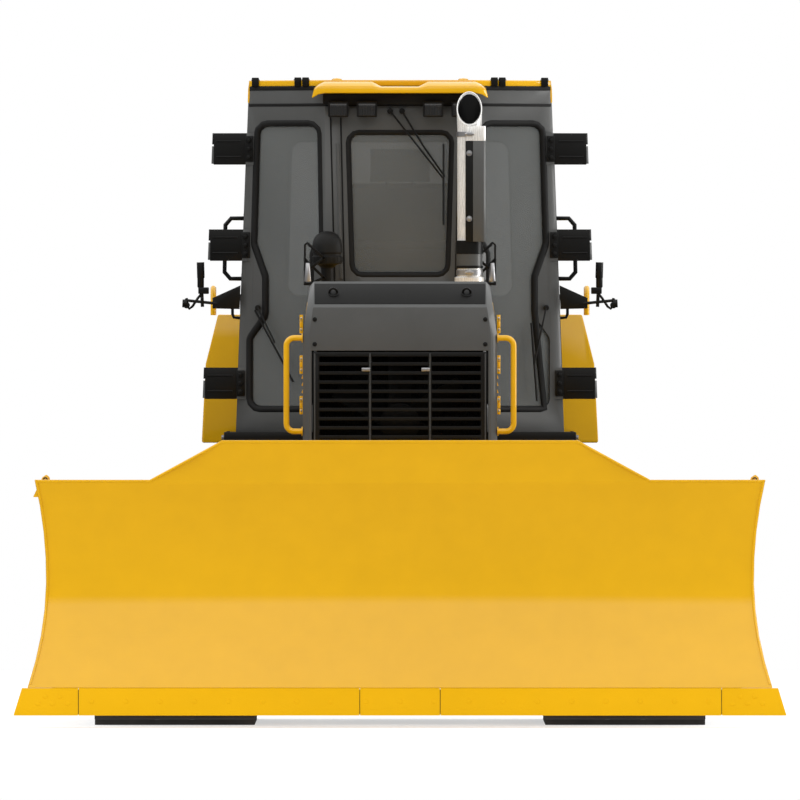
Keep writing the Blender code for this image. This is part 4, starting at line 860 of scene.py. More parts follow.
class DOZER_OT_roof(bpy.types.Operator):
    """The cap on the cab with its black lugs, the bands round the cab's head, and the drooping visor"""
    bl_idname = "dozer.roof"
    bl_label = "Roof"

    def execute(self, context):
        self.cap()
        self.lugs()
        self.bands()
        self.visor()
        return {"FINISHED"}

    def cap(self):
        """The CAD cap without what stands on it."""
        piece = cad_copy("roof_cap", "cab_roof")
        top = high("cab_roof").z - 0.012

        def cut():
            bpy.ops.mesh.remove_doubles(threshold=MERGE)
            bpy.ops.mesh.select_all(action="SELECT")
            bpy.ops.mesh.bisect(plane_co=(0, 0, top - 0.0004), plane_no=(0, 0, 1), clear_outer=True,
                use_fill=True)
            bpy.ops.mesh.select_all(action="SELECT")
            bpy.ops.mesh.dissolve_limited(angle_limit=FLAT)

        edit_all(piece, cut)
        clear_normals(piece)
        round_edges(piece, 0.005)
        fit(piece, CHASSIS, yellow_enamel())
        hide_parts("cab_roof")
        bumps = []
        for x in (-0.283, 0.283):
            bumps.append(turned("bump", [(0.024, top - 0.003), (0.022, top + 0.004), (0.014, top + 0.008),
                (0.001, top + 0.009)], (x, low("cab_roof").y + 0.10, 0), (0, 0, 1), 24))
        show("roof_plugs", bumps, yellow_enamel)

    def lugs(self):
        """Pairs of black lugs at the four corners of the cap."""
        top = high("cab_roof").z
        depth = 0.05
        front_y = surface("cab_roof", 0.648, top - 0.006)[0].y
        inner_y = surface("cab_roof", 0.440, top - 0.006)[0].y
        rear_y = high("cab_frame").y - 0.03 - depth
        parts = []
        for side in (1, -1):
            for x, width, front in ((0.648, 0.032, front_y), (0.4575, 0.031, inner_y),
                    (0.4225, 0.031, inner_y)):
                foot = cab_front_y(x - width / 2) - 0.005
                for y, near in ((front, foot), (rear_y, rear_y - 0.0004)):
                    parts.append(block("lug", (side * x - width / 2, near, top - 0.040),
                        (side * x + width / 2, y + depth + 0.0004, top), 0.003))
                    parts.append(bar("pin", (side * x - width / 2 - 0.003, y + 0.025, top - 0.014),
                        (side * x + width / 2 + 0.003, y + 0.025, top - 0.014), 0.006, 16, 0.001))
        show("roof_lugs", parts, black_enamel)

    def bands(self):
        """The black rubber bands above and below the fascia, on all three front faces."""
        parts = []
        for base, top in ((2.829, 2.8465), (CAB_HEAD_Z, 2.770)):
            for side in (1, -1):
                line = [(side * x, cab_front_y(x)) for x in (CAB_FLAT_HALF, cab_half(base) - 0.004)]
                outline = [(x, y - 0.003) for x, y in line] + [(x, y + 0.001) for x, y in reversed(line)]
                parts.append(plate("band", outline, "Z", base, top, 0.0008))
            front = cab_front_y(0)
            parts.append(block("band", (-CAB_FLAT_HALF, front - 0.003, base),
                (CAB_FLAT_HALF, front + 0.001, top), 0.0008, 1))
        show("cab_head_bands", parts, rubber)

    def visor(self):
        """A bent visor: drooping tips, a sloped top and a shallow dish in the middle."""
        lowest, highest = low("front_visor"), high("front_visor")
        front, back = lowest.y, highest.y
        ridge = high("cab_roof").z - 0.021

        def section(x, base, edge, top, set_back=0.0):
            near = front + 0.004 + set_back
            return [(x, near + 0.006, base), (x, near, base + 0.004), (x, near + 0.003, edge),
                (x, near + 0.045, top), (x, back, top), (x, back, base + 0.006)]

        rows = []
        for x, base, edge, top, set_back in ((-0.393, 2.793, 2.800, 2.803, 0.030),
                (-0.384, 2.797, 2.832, 2.838, 0.022), (-0.366, 2.808, 2.844, 2.853, 0.010),
                (-0.338, 2.814, 2.846, ridge, 0.0), (-0.125, 2.814, 2.846, ridge, 0.0),
                (-0.085, 2.814, 2.838, 2.845, 0.0)):
            rows.append(section(x, base, edge, top, set_back))
        sections = rows + [[(-x, y, z) for x, y, z in row] for row in reversed(rows)]
        visor = lofted("visor_shell", sections, 0.002)
        fit(visor, CHASSIS, yellow_enamel(), 25)
        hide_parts("front_visor")


class DOZER_OT_edges(bpy.types.Operator):
    """Cutting edges and end bits with their seams and plough bolts, and the blade's lifting eyes"""
    bl_idname = "dozer.edges"
    bl_label = "Cutting edges"

    def execute(self, context):
        source = cad_copy("edge", "cutting_edge")
        edit_all(source, lambda: (bpy.ops.mesh.remove_doubles(threshold=MERGE),
            bpy.ops.mesh.dissolve_limited(angle_limit=FLAT)))
        gap = 0.0016
        ends = (-1.71, -1.416, -0.177, 0.177, 1.416, 1.71)
        spans = [(a + gap / 2, b - gap / 2) for a, b in zip(ends, ends[1:])]
        parts = [round_edges(part, 0.002) for part in split_across(source, spans)]
        bpy.data.objects.remove(source, do_unlink=True)
        piece = together("cutting_edges", parts)
        clear_normals(piece)
        fit(piece, "blade", edge_enamel())
        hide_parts("cutting_edge")
        seams = []
        for x in ends[1:-1]:
            line = [surface("cutting_edge", x + 0.004, z)[0] for z in (0.060, 0.115, 0.168)]
            seams.append(bent("seam", [(x, place.y + 0.0004, place.z) for place in line], 0.0012, rounds=1))
        show("edge_seams", seams, black_enamel, 50, body="blade")
        places = []
        row = 0.117
        count = 19
        for i in range(count):
            places.append(surface("cutting_edge", -1.36 + 2.72 * i / (count - 1), row))
        for x, z in ((1.562, 0.139), (1.498, 0.139), (1.595, 0.108), (1.531, 0.108), (1.463, 0.108)):
            places += [surface("cutting_edge", x, z), surface("cutting_edge", -x, z)]
        model = bar("plough_bolt", (0, 0, -0.002), (0, 0, 0.0012), 0.0125, 20, 0.0008)
        heads = repeated("plough_bolts", shade(model), [facing(place, normal) for place, normal in places])
        fit(heads, "blade", edge_enamel(), 30)
        eyes = []
        for side in (1, -1):
            x, z = side * 1.562, 1.085
            back = surface("blade", side * 1.55, 1.06)[0].y + 0.024
            outline = [(x - 0.055, z - 0.07), (x + 0.032, z - 0.07), (x + 0.018, z + 0.018),
                (x + 0.004, z + 0.03), (x - 0.014, z + 0.018)]
            eyes.append(plate("eye", outline, "Y", back, back + 0.016, 0.003))
        show("blade_lifting_eyes", eyes, yellow_enamel, body="blade")
        rings = []
        for side in (1, -1):
            back = surface("blade", side * 1.55, 1.06)[0].y + 0.0225
            ring = [(side * 1.563 + 0.009 * math.cos(a), back,
                1.092 + 0.009 * math.sin(a)) for a in (i * math.pi / 8 for i in range(16))]
            rings.append(bent("ring", ring, 0.0022, cyclic=True))
        show("blade_eye_rims", rings, black_enamel, body="blade")
        self.end_plates()
        return {"FINISHED"}

    def end_plates(self):
        """A rounded strip down each end of the moldboard, and one along its top edges."""
        strips = []
        for side in (1, -1):
            path = []
            for i in range(13):
                z = 0.19 + (1.085 - 0.19) * i / 12
                reach = 1.560 + (0.27 if z > 0.66 else 0.345) * (z - 0.66) ** 2 - 0.007
                path.append((side * reach, surface("blade", side * (reach - 0.004), z)[0].y + 0.002, z))
            strips.append(bent("strip", path, 0.006))
        top = []
        for x, z in ((-1.600, 1.086), (-1.102, 1.086), (-0.783, 1.259), (0.783, 1.259), (1.102, 1.086),
                (1.600, 1.086)):
            top.append((x, surface("blade", x * 0.995, z - 0.004)[0].y + 0.002, z))
        strips.append(bent("strip", top, 0.006))
        show("blade_border_strips", strips, yellow_enamel, 60, body="blade")


class DOZER_OT_tracks(bpy.types.Operator):
    """Track shoes with their grousers and bolts, links, pins and bottom rollers"""
    bl_idname = "dozer.tracks"
    bl_label = "Tracks"

    def path(self):
        """The path of the links' rail: circles of the idler, sprocket, rollers and carrier."""
        wheel, roller = WHEEL_RADIUS, ROLLER_RADIUS
        circles = [(IDLER_Y, RAIL_Z + wheel, wheel), (1.45, RAIL_Z + wheel + 0.03, wheel),
            (-ROLLER_REACH, RAIL_Z + roller, roller), (ROLLER_REACH, RAIL_Z + roller, roller),
            (0.10, RAIL_Z + 2 * wheel + 0.02 - roller, roller)]
        points = []
        for y, z, radius in circles:
            for i in range(96):
                turn = 2 * math.pi * i / 96
                points.append((y + radius * math.cos(turn), z + radius * math.sin(turn)))
        return around(points)

    def execute(self, context):
        rail = self.path()
        count = sizes().shoe_count
        spots = evenly(rail, count, outward=0.045)
        for word, _ in SIDES:
            middle = (low(f"track_{word}").x + high(f"track_{word}").x) / 2
            self.shoes(word, middle, spots)
            self.links(word, middle, spots)
            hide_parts(f"track_{word}")
            self.rollers(word, middle)
        return {"FINISHED"}

    def frames(self, middle, spots):
        """A matrix for each shoe: X across, Y along the belt, Z outwards."""
        made = []
        for (y, z), (ty, tz) in spots:
            across = Vector((-1, 0, 0))
            run = Vector((0, ty, tz)).normalized()
            out = across.cross(run)
            turn = Matrix((across, run, out)).transposed().to_4x4()
            made.append(Matrix.Translation(Vector((middle, y + MID_Y, z))) @ turn)
        return made

    def shoes(self, word, middle, spots):
        half = 0.355
        pitch = 0.1955
        height = sizes().grouser_height
        outline = [(-pitch * 0.5, 0.045), (pitch * 0.47, 0.045), (pitch * 0.5, 0.050), (pitch * 0.5, 0.059),
            (-pitch * 0.30, 0.059), (-pitch * 0.34, 0.059 + height * 0.95),
            (-pitch * 0.36, 0.059 + height), (-pitch * 0.42, 0.059 + height),
            (-pitch * 0.45, 0.059 + height * 0.9), (-pitch * 0.48, 0.057)]
        shoe = plate("shoe", outline, "X", -half, half, 0.0018)
        heads = [(x, y, 0.059) for x in (-0.078, 0.078) for y in (-0.025, 0.045)]
        nuts = bolts("shoe_bolts", heads, (0, 0, 1), 0.026)
        shoe = together("shoe", [shoe, nuts])
        piece = repeated(f"track_shoes_{word}", shoe, self.frames(middle, spots))
        fit(piece, CHASSIS, forged_steel(), 40)

    def links(self, word, middle, spots):
        parts = []
        for x in (-0.082, 0.052):
            outline = [(-0.118, -0.020), (-0.095, -0.042), (0.075, -0.045), (0.098, -0.030), (0.112, 0.0),
                (0.098, 0.030), (0.070, 0.0455), (-0.070, 0.0455), (-0.102, 0.030), (-0.118, 0.012)]
            parts.append(plate("link", outline, "X", x, x + 0.030, 0.004))
        parts.append(bar("pin", (-0.100, 0.098, 0), (0.100, 0.098, 0), 0.021, 20, 0.003))
        link = shade(together("link", parts))
        piece = repeated(f"track_links_{word}", link, self.frames(middle, spots))
        fit(piece, CHASSIS, forged_steel(), 40)

    def rollers(self, word, middle):
        """The flanged bottom rollers with their end collars."""
        parts = []
        for i in range(ROLLER_COUNT):
            y = -ROLLER_REACH + 2 * ROLLER_REACH * i / (ROLLER_COUNT - 1)
            parts.append(self.roller(Vector((middle, y + MID_Y, RAIL_Z + ROLLER_RADIUS))))
        piece = together(f"track_rollers_{word}", parts)
        fit(piece, CHASSIS, cast_iron(), 35)

    def roller(self, place):
        profile = [(0.0, -0.112), (0.032, -0.112), (0.036, -0.108), (0.036, -0.100), (0.098, -0.100),
            (0.100, -0.097), (0.098, -0.090), (0.0885, -0.086), (0.0885, -0.044), (0.096, -0.040),
            (0.096, -0.030), (0.060, -0.026), (0.060, 0.026), (0.096, 0.030), (0.096, 0.040),
            (0.0885, 0.044), (0.0885, 0.086), (0.098, 0.090), (0.100, 0.097), (0.098, 0.100),
            (0.036, 0.100), (0.036, 0.108), (0.032, 0.112), (0.0, 0.112)]
        return turned("roller", profile, place, (1, 0, 0), 28)


def around(points):
    """The convex outline round a set of (y, z) points, counterclockwise."""
    ordered = sorted(set((round(u, 6), round(v, 6)) for u, v in points))

    def chain(sequence):
        kept = []
        for point in sequence:
            while len(kept) > 1 and bend(kept[-2], kept[-1], point) <= 0:
                kept.pop()
            kept.append(point)
        return kept[:-1]

    def bend(a, b, c):
        return (b[0] - a[0]) * (c[1] - a[1]) - (b[1] - a[1]) * (c[0] - a[0])

    return chain(ordered) + chain(ordered[::-1])


def evenly(outline, count, outward):
    """Points and directions spaced evenly round an outline moved outwards."""
    moved = []
    size = len(outline)
    for i in range(size):
        before, here, after = (Vector(outline[(i + k) % size]) for k in (-1, 0, 1))
        run = ((here - before).normalized() + (after - here).normalized()).normalized()
        moved.append(here + Vector((run.y, -run.x)) * outward)
    lengths = [(moved[(i + 1) % size] - moved[i]).length for i in range(size)]
    total = sum(lengths)
    spots = []
    step = total / count
    index, run_so_far = 0, 0.0
    for k in range(count):
        target = step * (k + 0.5)
        while run_so_far + lengths[index] < target:
            run_so_far += lengths[index]
            index += 1
        start, end = moved[index], moved[(index + 1) % size]
        share = (target - run_so_far) / lengths[index]
        spots.append((tuple(start.lerp(end, share)), tuple((end - start).normalized())))
    return spots


class DOZER_OT_nose(bpy.types.Operator):
    """Nose fittings: handrails, lifting hooks, grille latches and their bolts"""
    bl_idname = "dozer.nose"
    bl_label = "Nose fittings"

    def execute(self, context):
        for word, side in SIDES:
            self.handrail(word, side)
        self.panels()
        self.hooks()
        self.latches()
        return {"FINISHED"}

    def panels(self):
        """The dark cover on the sloping top of the nose, and the frame lines round the grille."""
        half = high("hood_front").x - 0.052
        low_z, high_z = 1.868, 1.958
        corners = []
        for z in (low_z, high_z):
            place, normal = surface("hood_front", 0.0, z)
            corners.append((place, normal))
        outline = []
        for place, normal in corners:
            outline.append((place.y + normal.y * 0.002, place.z + normal.z * 0.002))
        for place, normal in reversed(corners):
            outline.append((place.y - normal.y * 0.0005, place.z - normal.z * 0.0005))
        cover = plate("nose_slope_cover", outline, "X", -half, half, 0.0006)
        fit(cover, CHASSIS, moulded_plastic(), 30)
        lines = []
        grille = low("grille_door")
        top = high("grille_door")
        face = grille.y - 0.001
        for x in (grille.x + 0.008, top.x - 0.008, -0.133, 0.133):
            lines.append(block("upright", (x - 0.0022, face - 0.002, grille.z + 0.006),
                (x + 0.0022, face, top.z - 0.006), 0.0006, 1))
        show("grille_uprights", lines, grey_enamel, 30, body="grille_door")

    def handrail(self, word, side):
        node = f"handrail_{word}"
        y = (low(node).y + high(node).y) / 2
        radius = 0.013
        wall = side * (high("hood_front").x + 0.0005)
        out = side * (high("handrail_left").x - radius)
        bottom, top = low(node).z + radius, high(node).z - radius
        curve = 0.035
        path = [(wall, y, bottom)]
        for i in range(7):
            turn = math.pi / 2 * i / 6
            path.append((out - side * curve * (1 - math.sin(turn)), y,
                bottom + curve * (1 - math.cos(turn))))
        for i in range(7):
            turn = math.pi / 2 * i / 6
            path.append((out - side * curve * (1 - math.cos(turn)), y, top - curve * (1 - math.sin(turn))))
        path.append((wall, y, top))
        parts = [bent("rail", path, radius, rounds=6)]
        for z in (bottom, top):
            parts.append(bar("foot", (wall, y, z), (wall + side * 0.005, y, z), 0.021, 24, 0.001))
        piece = show(f"handrail_tube_{word}", parts, yellow_enamel, 50)
        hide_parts(node)

    def hooks(self):
        parts = []
        for x in (-0.296, 0.296):
            place, normal = surface("hood_front", x, 1.915)
            parts.append(bar("boss", place, place + normal * 0.006, 0.024, 24, 0.0015))
            ring = []
            for i in range(13):
                turn = math.pi * i / 12
                lift = normal * (0.006 + 0.026 * math.sin(turn))
                ring.append(place + lift + Vector((0.017 * math.cos(turn), 0, 0)))
            parts.append(bent("hook", ring, 0.0055, rounds=3))
        show("nose_lifting_hooks", parts, black_enamel, 50)

    def latches(self):
        parts = []
        for x, z in ((-0.151, 1.578), (0.114, 1.578)):
            place = Vector((x, low("grille_door").y, z))
            parts.append(block("paddle", place + Vector((-0.019, -0.006, -0.008)),
                place + Vector((0.019, 0, 0.008)), 0.002))
            parts.append(bar("key", place, place + Vector((0, -0.008, 0)), 0.006, 16, 0.001))
        piece = together("grille_latches", parts)
        fit(piece, "grille_door", zinc(), 30)
        heads = [surface("hood_front", x, z)[0] for x in (0.378, -0.378) for z in (1.69, 1.80)]
        fit(bolts("nose_bolts", heads, (0, -1, 0), 0.012), CHASSIS, black_enamel(), 30)


class DOZER_OT_stack(bpy.types.Operator):
    """Exhaust pipe with its clamps and heat shield, the air intake, and the hood-top brackets"""
    bl_idname = "dozer.stack"
    bl_label = "Exhaust and intake"

    def execute(self, context):
        self.exhaust()
        self.intake()
        self.brackets()
        return {"FINISHED"}

    def exhaust(self):
        node = "exhaust_stack"
        centre = Vector((low(node).x + 0.0565, (low(node).y + high(node).y) / 2, 0))
        base, top = low(node).z, high(node).z
        radius = 0.0545
        pipe = turned("pipe", [(radius + 0.012, base), (radius + 0.012, base + 0.02),
            (radius, base + 0.026), (radius, top - 0.16), (radius + 0.0015, top - 0.12),
            (radius + 0.0015, top + 0.06), (radius - 0.003, top + 0.06), (radius - 0.005, top - 0.2),
            (0.001, top - 0.2)], (centre.x, centre.y, 0), (0, 0, 1), 64)

        def slant(drop=0.0):
            bpy.ops.mesh.bisect(plane_co=(centre.x, centre.y - radius, top - 0.149 - drop),
                plane_no=(0, -0.81, 0.586), clear_outer=True, use_fill=False)

        edit_all(pipe, slant)
        apply_modifier(pipe, "WELD", merge_threshold=MERGE)
        fit(pipe, CHASSIS, stainless(), 30)
        pipe.name = "exhaust_pipe"
        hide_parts(node)
        # A black lining inside the pipe's mouth, so that the open bore looks dark: painted shade of the
        # deep pipe.
        bore = turned("exhaust_bore", [(0.001, top - 0.195), (radius - 0.0065, top - 0.195),
            (radius - 0.0045, top + 0.06), (radius - 0.0038, top + 0.06), (radius - 0.0058, top - 0.197),
            (0.001, top - 0.197)], (centre.x, centre.y, 0), (0, 0, 1), 64)
        edit_all(bore, lambda: slant(0.004))
        fit(bore, CHASSIS, black_enamel(), 30)
        edge = []
        for i in range(48):
            turn = 2 * math.pi * i / 48
            x, y = centre.x + radius * math.cos(turn), centre.y + radius * math.sin(turn)
            edge.append((x, y, top - 0.149 + (y - centre.y + radius) * 0.81 / 0.586 - 0.001))
        fit(bent("exhaust_rim", edge, 0.0026, cyclic=True), CHASSIS, stainless(), 50)
        rings = []
        for z in (2.012, 2.63):
            rings.append(self.band(centre, radius, z, 0.011, 0.005))
            rings.append(block("lug", (centre.x - 0.012, centre.y - radius - 0.024, z - 0.009),
                (centre.x + 0.012, centre.y - radius - 0.003, z + 0.009), 0.002))
            rings.append(bar("bolt", (centre.x - 0.02, centre.y - radius - 0.014, z),
                (centre.x + 0.02, centre.y - radius - 0.014, z), 0.005, 12, 0.001))
        show("exhaust_clamps", rings, zinc)
        sleeves = [self.band(centre, radius, 2.125, 0.030, 0.007),
            self.band(centre, radius, 2.037, 0.006, 0.006)]
        show("exhaust_sleeves", sleeves, black_enamel)
        fit(named(self.band(centre, radius, 2.069, 0.030, 0.004), "exhaust_collar"), CHASSIS, grey_enamel(),
            35)
        self.shield(centre, radius)

    def band(self, centre, radius, z, half, thick):
        """A band round the pipe, half as tall as given on each side of its height."""
        return turned("band", [(radius + 0.0008, z - half), (radius + thick - 0.001, z - half),
            (radius + thick, z - half + 0.001), (radius + thick, z + half - 0.001),
            (radius + thick - 0.001, z + half), (radius + 0.0008, z + half)], (centre.x, centre.y, 0),
            (0, 0, 1), 48)

    def shield(self, centre, radius):
        """A folded heat guard in front of the pipe's outer half, on a bolted strip."""
        out = high("exhaust_stack").x
        front = centre.y - radius - 0.012
        low_z, high_z = 2.150, 2.600
        fold = [(0.326, front), (out - 0.008, front), (out, front + 0.008), (out, centre.y + 0.035),
            (out - 0.003, centre.y + 0.035), (out - 0.003, front + 0.010), (out - 0.010, front + 0.003),
            (0.326, front + 0.003)]
        guard = plate("exhaust_guard", fold, "Z", low_z, high_z, 0.0008)
        fit(guard, CHASSIS, grey_enamel(), 30)
        strip = [block("strip", (0.292, front + 0.001, low_z), (0.327, front + 0.009, high_z), 0.002)]
        for z in (2.225, 2.545):
            strip.append(block("strap", (0.300, front + 0.004, z - 0.014),
                (out - 0.004, front + 0.011, z + 0.014), 0.001))
        show("exhaust_guard_strip", strip, black_enamel, 30)
        cap = plate("exhaust_guard_cap", fold, "Z", high_z, high_z + 0.066, 0.0008)
        hood = block("cap", (0.296, front + 0.0005, high_z + 0.001),
            (0.329, front + 0.0035, high_z + 0.064), 0.001)
        show("exhaust_guard_cap", [cap, hood], stainless, 30)
        heads = [(0.309, front + 0.001, z) for z in (2.252, 2.545)]
        fit(bolts("exhaust_guard_bolts", heads, (0, -1, 0), 0.016), CHASSIS, zinc(), 30)

    def intake(self):
        node = "precleaner"
        lowest, highest = low(node), high(node)
        centre = (lowest + highest) / 2
        reach = (highest.x - lowest.x) / 2
        base, top = lowest.z, highest.z
        height = top - base
        profile = [(reach * 0.42, base), (reach * 0.42, base + height * 0.28),
            (reach * 0.62, base + height * 0.34), (reach * 0.96, base + height * 0.36),
            (reach, base + height * 0.39), (reach, base + height * 0.50),
            (reach * 0.93, base + height * 0.52), (reach * 0.93, base + height * 0.56),
            (reach, base + height * 0.58), (reach * 0.99, base + height * 0.72),
            (reach * 0.90, base + height * 0.84), (reach * 0.70, base + height * 0.93),
            (reach * 0.40, base + height * 0.985), (reach * 0.12, top), (0.0, top)]
        piece = turned("air_intake_dome", profile, (centre.x, centre.y, 0), (0, 0, 1), 56)
        fit(piece, CHASSIS, moulded_plastic(), 40)
        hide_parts(node)
        vanes = []
        for i in range(24):
            turn = 2 * math.pi * i / 24
            spot = Vector((centre.x + reach * 0.965 * math.cos(turn),
                centre.y + reach * 0.965 * math.sin(turn), base + height * 0.445))
            vane = block("vane", (-0.0012, -0.004, -height * 0.05), (0.0012, 0.003, height * 0.05), 0.0005)
            vane.data.transform(Matrix.Translation(spot) @ Matrix.Rotation(turn + math.radians(65), 4, "Z"))
            vanes.append(vane)
        show("air_intake_vanes", vanes, moulded_plastic, 30)

    def square_bar(self, start, end, half):
        """A square bar between two points, drawn a little past both, with rounded edges."""
        start, end = Vector(start), Vector(end)
        run = (end - start).normalized()
        piece = block("bar", (-half, -half, -half), (half, half, (end - start).length + half), 0.0015, 2)
        piece.data.transform(Matrix.Translation(start) @ Vector((0, 0,
            1)).rotation_difference(run).to_matrix().to_4x4())
        return piece

    def brackets(self):
        """The folded flat bars at both sides of the hood's top."""
        parts = []
        y = at(0, -0.44, 0).y
        for side in (1, -1):
            for shift, folds in ((0.0, ((0.407, 2.137), (0.341, 2.078), (0.394, 2.036))),
                    (0.030, ((0.424, 2.071), (0.341, 1.990), (0.380, 1.972)))):
                for start, end in zip(folds, folds[1:]):
                    parts.append(self.square_bar((side * start[0], y + shift, start[1]),
                        (side * end[0], y + shift, end[1]), 0.006))
            parts.append(bent("post", [(side * 0.402, y + 0.012, 2.137), (side * 0.414, y + 0.012, 2.146),
                (side * 0.425, y + 0.012, 2.136), (side * 0.425, y + 0.012, 1.968)], 0.005))
            parts.append(block("base", (min(side * 0.345, side * 0.430), y - 0.02, 1.955),
                (max(side * 0.345, side * 0.430), y + 0.05, 1.968), 0.003))
        show("hood_top_brackets", parts, black_enamel)
        cones = []
        for side in (1, -1):
            cones.append(bar("cone", (side * 0.412, y - 0.02, 1.972), (side * 0.412, y - 0.02, 2.055),
                0.016, 24, 0.002, 0.009))
        show("hood_top_stops", cones, zinc)


def cab_half(z):
    """Half the cab's width at a height, between its base and its roof."""
    return CAB_BASE_HALF - (z - CAB_BASE_Z) * (CAB_BASE_HALF - CAB_HEAD_HALF) / (CAB_HEAD_Z - CAB_BASE_Z)


def cab_front_y(x):
    """The front of the cab, flat in the middle and falling back on both sides."""
    return at(0, -0.20, 0).y + max(0.0, abs(x) - CAB_FLAT_HALF) * CAB_SWEEP


class DOZER_OT_cab(bpy.types.Operator):
    """Cab fittings: window seals, pillars, wipers, hinges, work lamps, mirrors and handles"""
    bl_idname = "dozer.cab"
    bl_label = "Cab fittings"

    def execute(self, context):
        pane_seal("windshield_seal", "windshield", (0, -1, 0), CHASSIS)
        pane_seal("rear_window_seal", "rear_window", (0, 1, 0), CHASSIS)
        for word, side in SIDES:
            pane_seal(f"quarter_seal_{word}", f"quarter_window_{word}", (side * 0.6, -0.8, 0), CHASSIS)
            pane_seal(f"door_seal_{word}", f"cab_door_glass_{word}", (side, 0, 0), f"cab_door_{word}")
            self.hinges(word, side)
            self.door(word, side)
            self.mirror(word, side)
            self.handle(word, side)
            self.pillar(word, side)
            self.roof_edge(word, side)
        self.lamps()
        self.wipers()
        return {"FINISHED"}

    def pillar(self, word, side):
        """The upright mouldings on the pillar between the windshield and a quarter window."""
        beads, ribs = [], []
        for top_x, low_x, top_z, low_z, radius, group in ((0.312, 0.292, 2.755, 1.975, 0.0035, beads),
                (0.266, 0.248, 2.755, 1.975, 0.0035, beads), (0.280, 0.262, 2.59, 1.985, 0.008, ribs)):
            ends = [(side * x, cab_front_y(x) - 0.001, z) for x, z in ((top_x, top_z), (low_x, low_z))]
            group.append(bent("bead", ends, radius, rounds=3))
        show(f"pillar_beads_{word}", beads, black_enamel, 50)
        show(f"pillar_rib_{word}", ribs, grey_enamel, 50)

    def hinges(self, word, side):
        """Grooves and the bolt block on each hinge plate."""
        grooves, blocks, heads = [], [], []
        for z in (1.518, 2.137, 2.568):
            corner = cab_half(z)
            out = 0.868 - (z - 1.518) * (CAB_BASE_HALF - CAB_HEAD_HALF) / (CAB_HEAD_Z - CAB_BASE_Z)
            inner_y = cab_front_y(corner)
            start = Vector((side * (corner - 0.04), inner_y - 0.028, z))
            end = Vector((side * (out + 0.006), at(0, 0.066, 0).y, z))
            run = (end - start).normalized()
            face = Vector((0, 0, 1)).cross(run) * side
            if face.y > 0:
                face = -face
            for lift in (-0.035, 0.035):
                up = Vector((0, 0, lift))
                rib = bent("groove", [start.lerp(end, 0.34) + up + face * 0.001,
                    start.lerp(end, 0.94) + up + face * 0.001], 0.004, rounds=2)
                grooves.append(rib)
            pad = block("pad", (-0.018, -0.008, -0.058), (0.018, 0.004, 0.058), 0.002)
            spot = start.lerp(end, 0.14)
            turn = math.atan2(run.y, run.x) + (0 if side > 0 else math.pi)
            pad.data.transform(Matrix.Translation(spot) @ Matrix.Rotation(turn, 4, "Z"))
            blocks.append(pad)
            for lift in (-0.038, 0.0, 0.038):
                heads.append(spot + face * 0.008 + Vector((0, 0, lift)))
        show(f"hinge_grooves_{word}", grooves, black_enamel, 40)
        show(f"hinge_pads_{word}", blocks, black_enamel, 30)
        fit(bolts(f"hinge_bolts_{word}", heads, face, 0.017), CHASSIS, black_enamel(), 30)

    def door(self, word, side):
        """The latch handle of a door, on its plate."""
        body = f"cab_door_{word}"
        y = high(body).y - 0.06
        z = 1.86
        x = cab_half(z)
        parts = [block("plate", (min(side * x, side * (x + 0.006)), y - 0.036, z - 0.06),
            (max(side * x, side * (x + 0.006)), y + 0.036, z + 0.06), 0.003)]
        path = [(side * (x + 0.004), y, z + 0.045), (side * (x + 0.036), y, z + 0.040),
            (side * (x + 0.040), y, z + 0.02), (side * (x + 0.040), y, z - 0.03),
            (side * (x + 0.034), y, z - 0.045), (side * (x + 0.004), y, z - 0.048)]
        parts.append(bent("grip", path, 0.007))
        parts.append(bar("lock", (side * (x + 0.004), y + 0.022, z + 0.045),
            (side * (x + 0.012), y + 0.022, z + 0.045), 0.008, 20, 0.001))
        show(f"door_handle_{word}", parts, black_enamel, 40, body=body)

    def mirror(self, word, side):
        """The clamp, rods and folded mirror arm on a bracket."""
        node = f"mirror_bracket_{word}"
        lowest, highest = low(node), high(node)
        y = (lowest.y + highest.y) / 2
        parts = []
        parts.append(bar("capsule", (side * 0.893, y, 1.945), (side * 0.893, y, 2.045), 0.015, 24, 0.006))
        parts.append(block("clamp", (side * 0.880 - 0.024, y - 0.015, 1.918),
            (side * 0.880 + 0.024, y + 0.015, 1.948), 0.004))
        path = [(side * 0.880, y, 1.930), (side * 0.905, y, 1.900), (side * 0.930, y, 1.862),
            (side * 0.944, y, 1.852), (side * 0.952, y, 1.862), (side * 0.956, y, 1.90)]
        parts.append(bent("rod", path, 0.006))
        parts.append(turned("knob", [(0.001, -0.012), (0.012, -0.011), (0.015, 0.0), (0.012, 0.011),
            (0.001, 0.012)], (side * 0.956, y, 1.868), (0, -1, 0), 20))
        show(f"mirror_rods_{word}", parts, black_enamel, 45)

    def handle(self, word, side):
        """Bolted feet for the grab handle on the rear corner."""
        y = high("cab_frame").y - 0.06
        parts = []
        for z in (1.99, 2.262):
            x = cab_half(z)
            parts.append(bar("foot", (side * (x - 0.004), y, z), (side * (x + 0.006), y, z), 0.022, 24,
                0.0015))
        show(f"grab_handle_feet_{word}", parts, black_enamel, 40)

    def roof_edge(self, word, side):
        """The yellow trim along a side of the roof."""
        top = high("cab_roof").z
        back = high("cab_roof").y
        x = cab_half(2.80)
        lip = [(side * (x - 0.030), top - 0.014), (side * (x - 0.004), top - 0.016),
            (side * (x + 0.001), top - 0.05), (side * (x + 0.003), top - 0.11),
            (side * (x - 0.004), top - 0.115), (side * (x - 0.012), top - 0.05)]
        front = cab_front_y(x)
        trim = plate(f"roof_trim_{word}", lip, "Y", front - 0.004, back - 0.01, 0.002)
        fit(trim, CHASSIS, yellow_enamel(), 40)

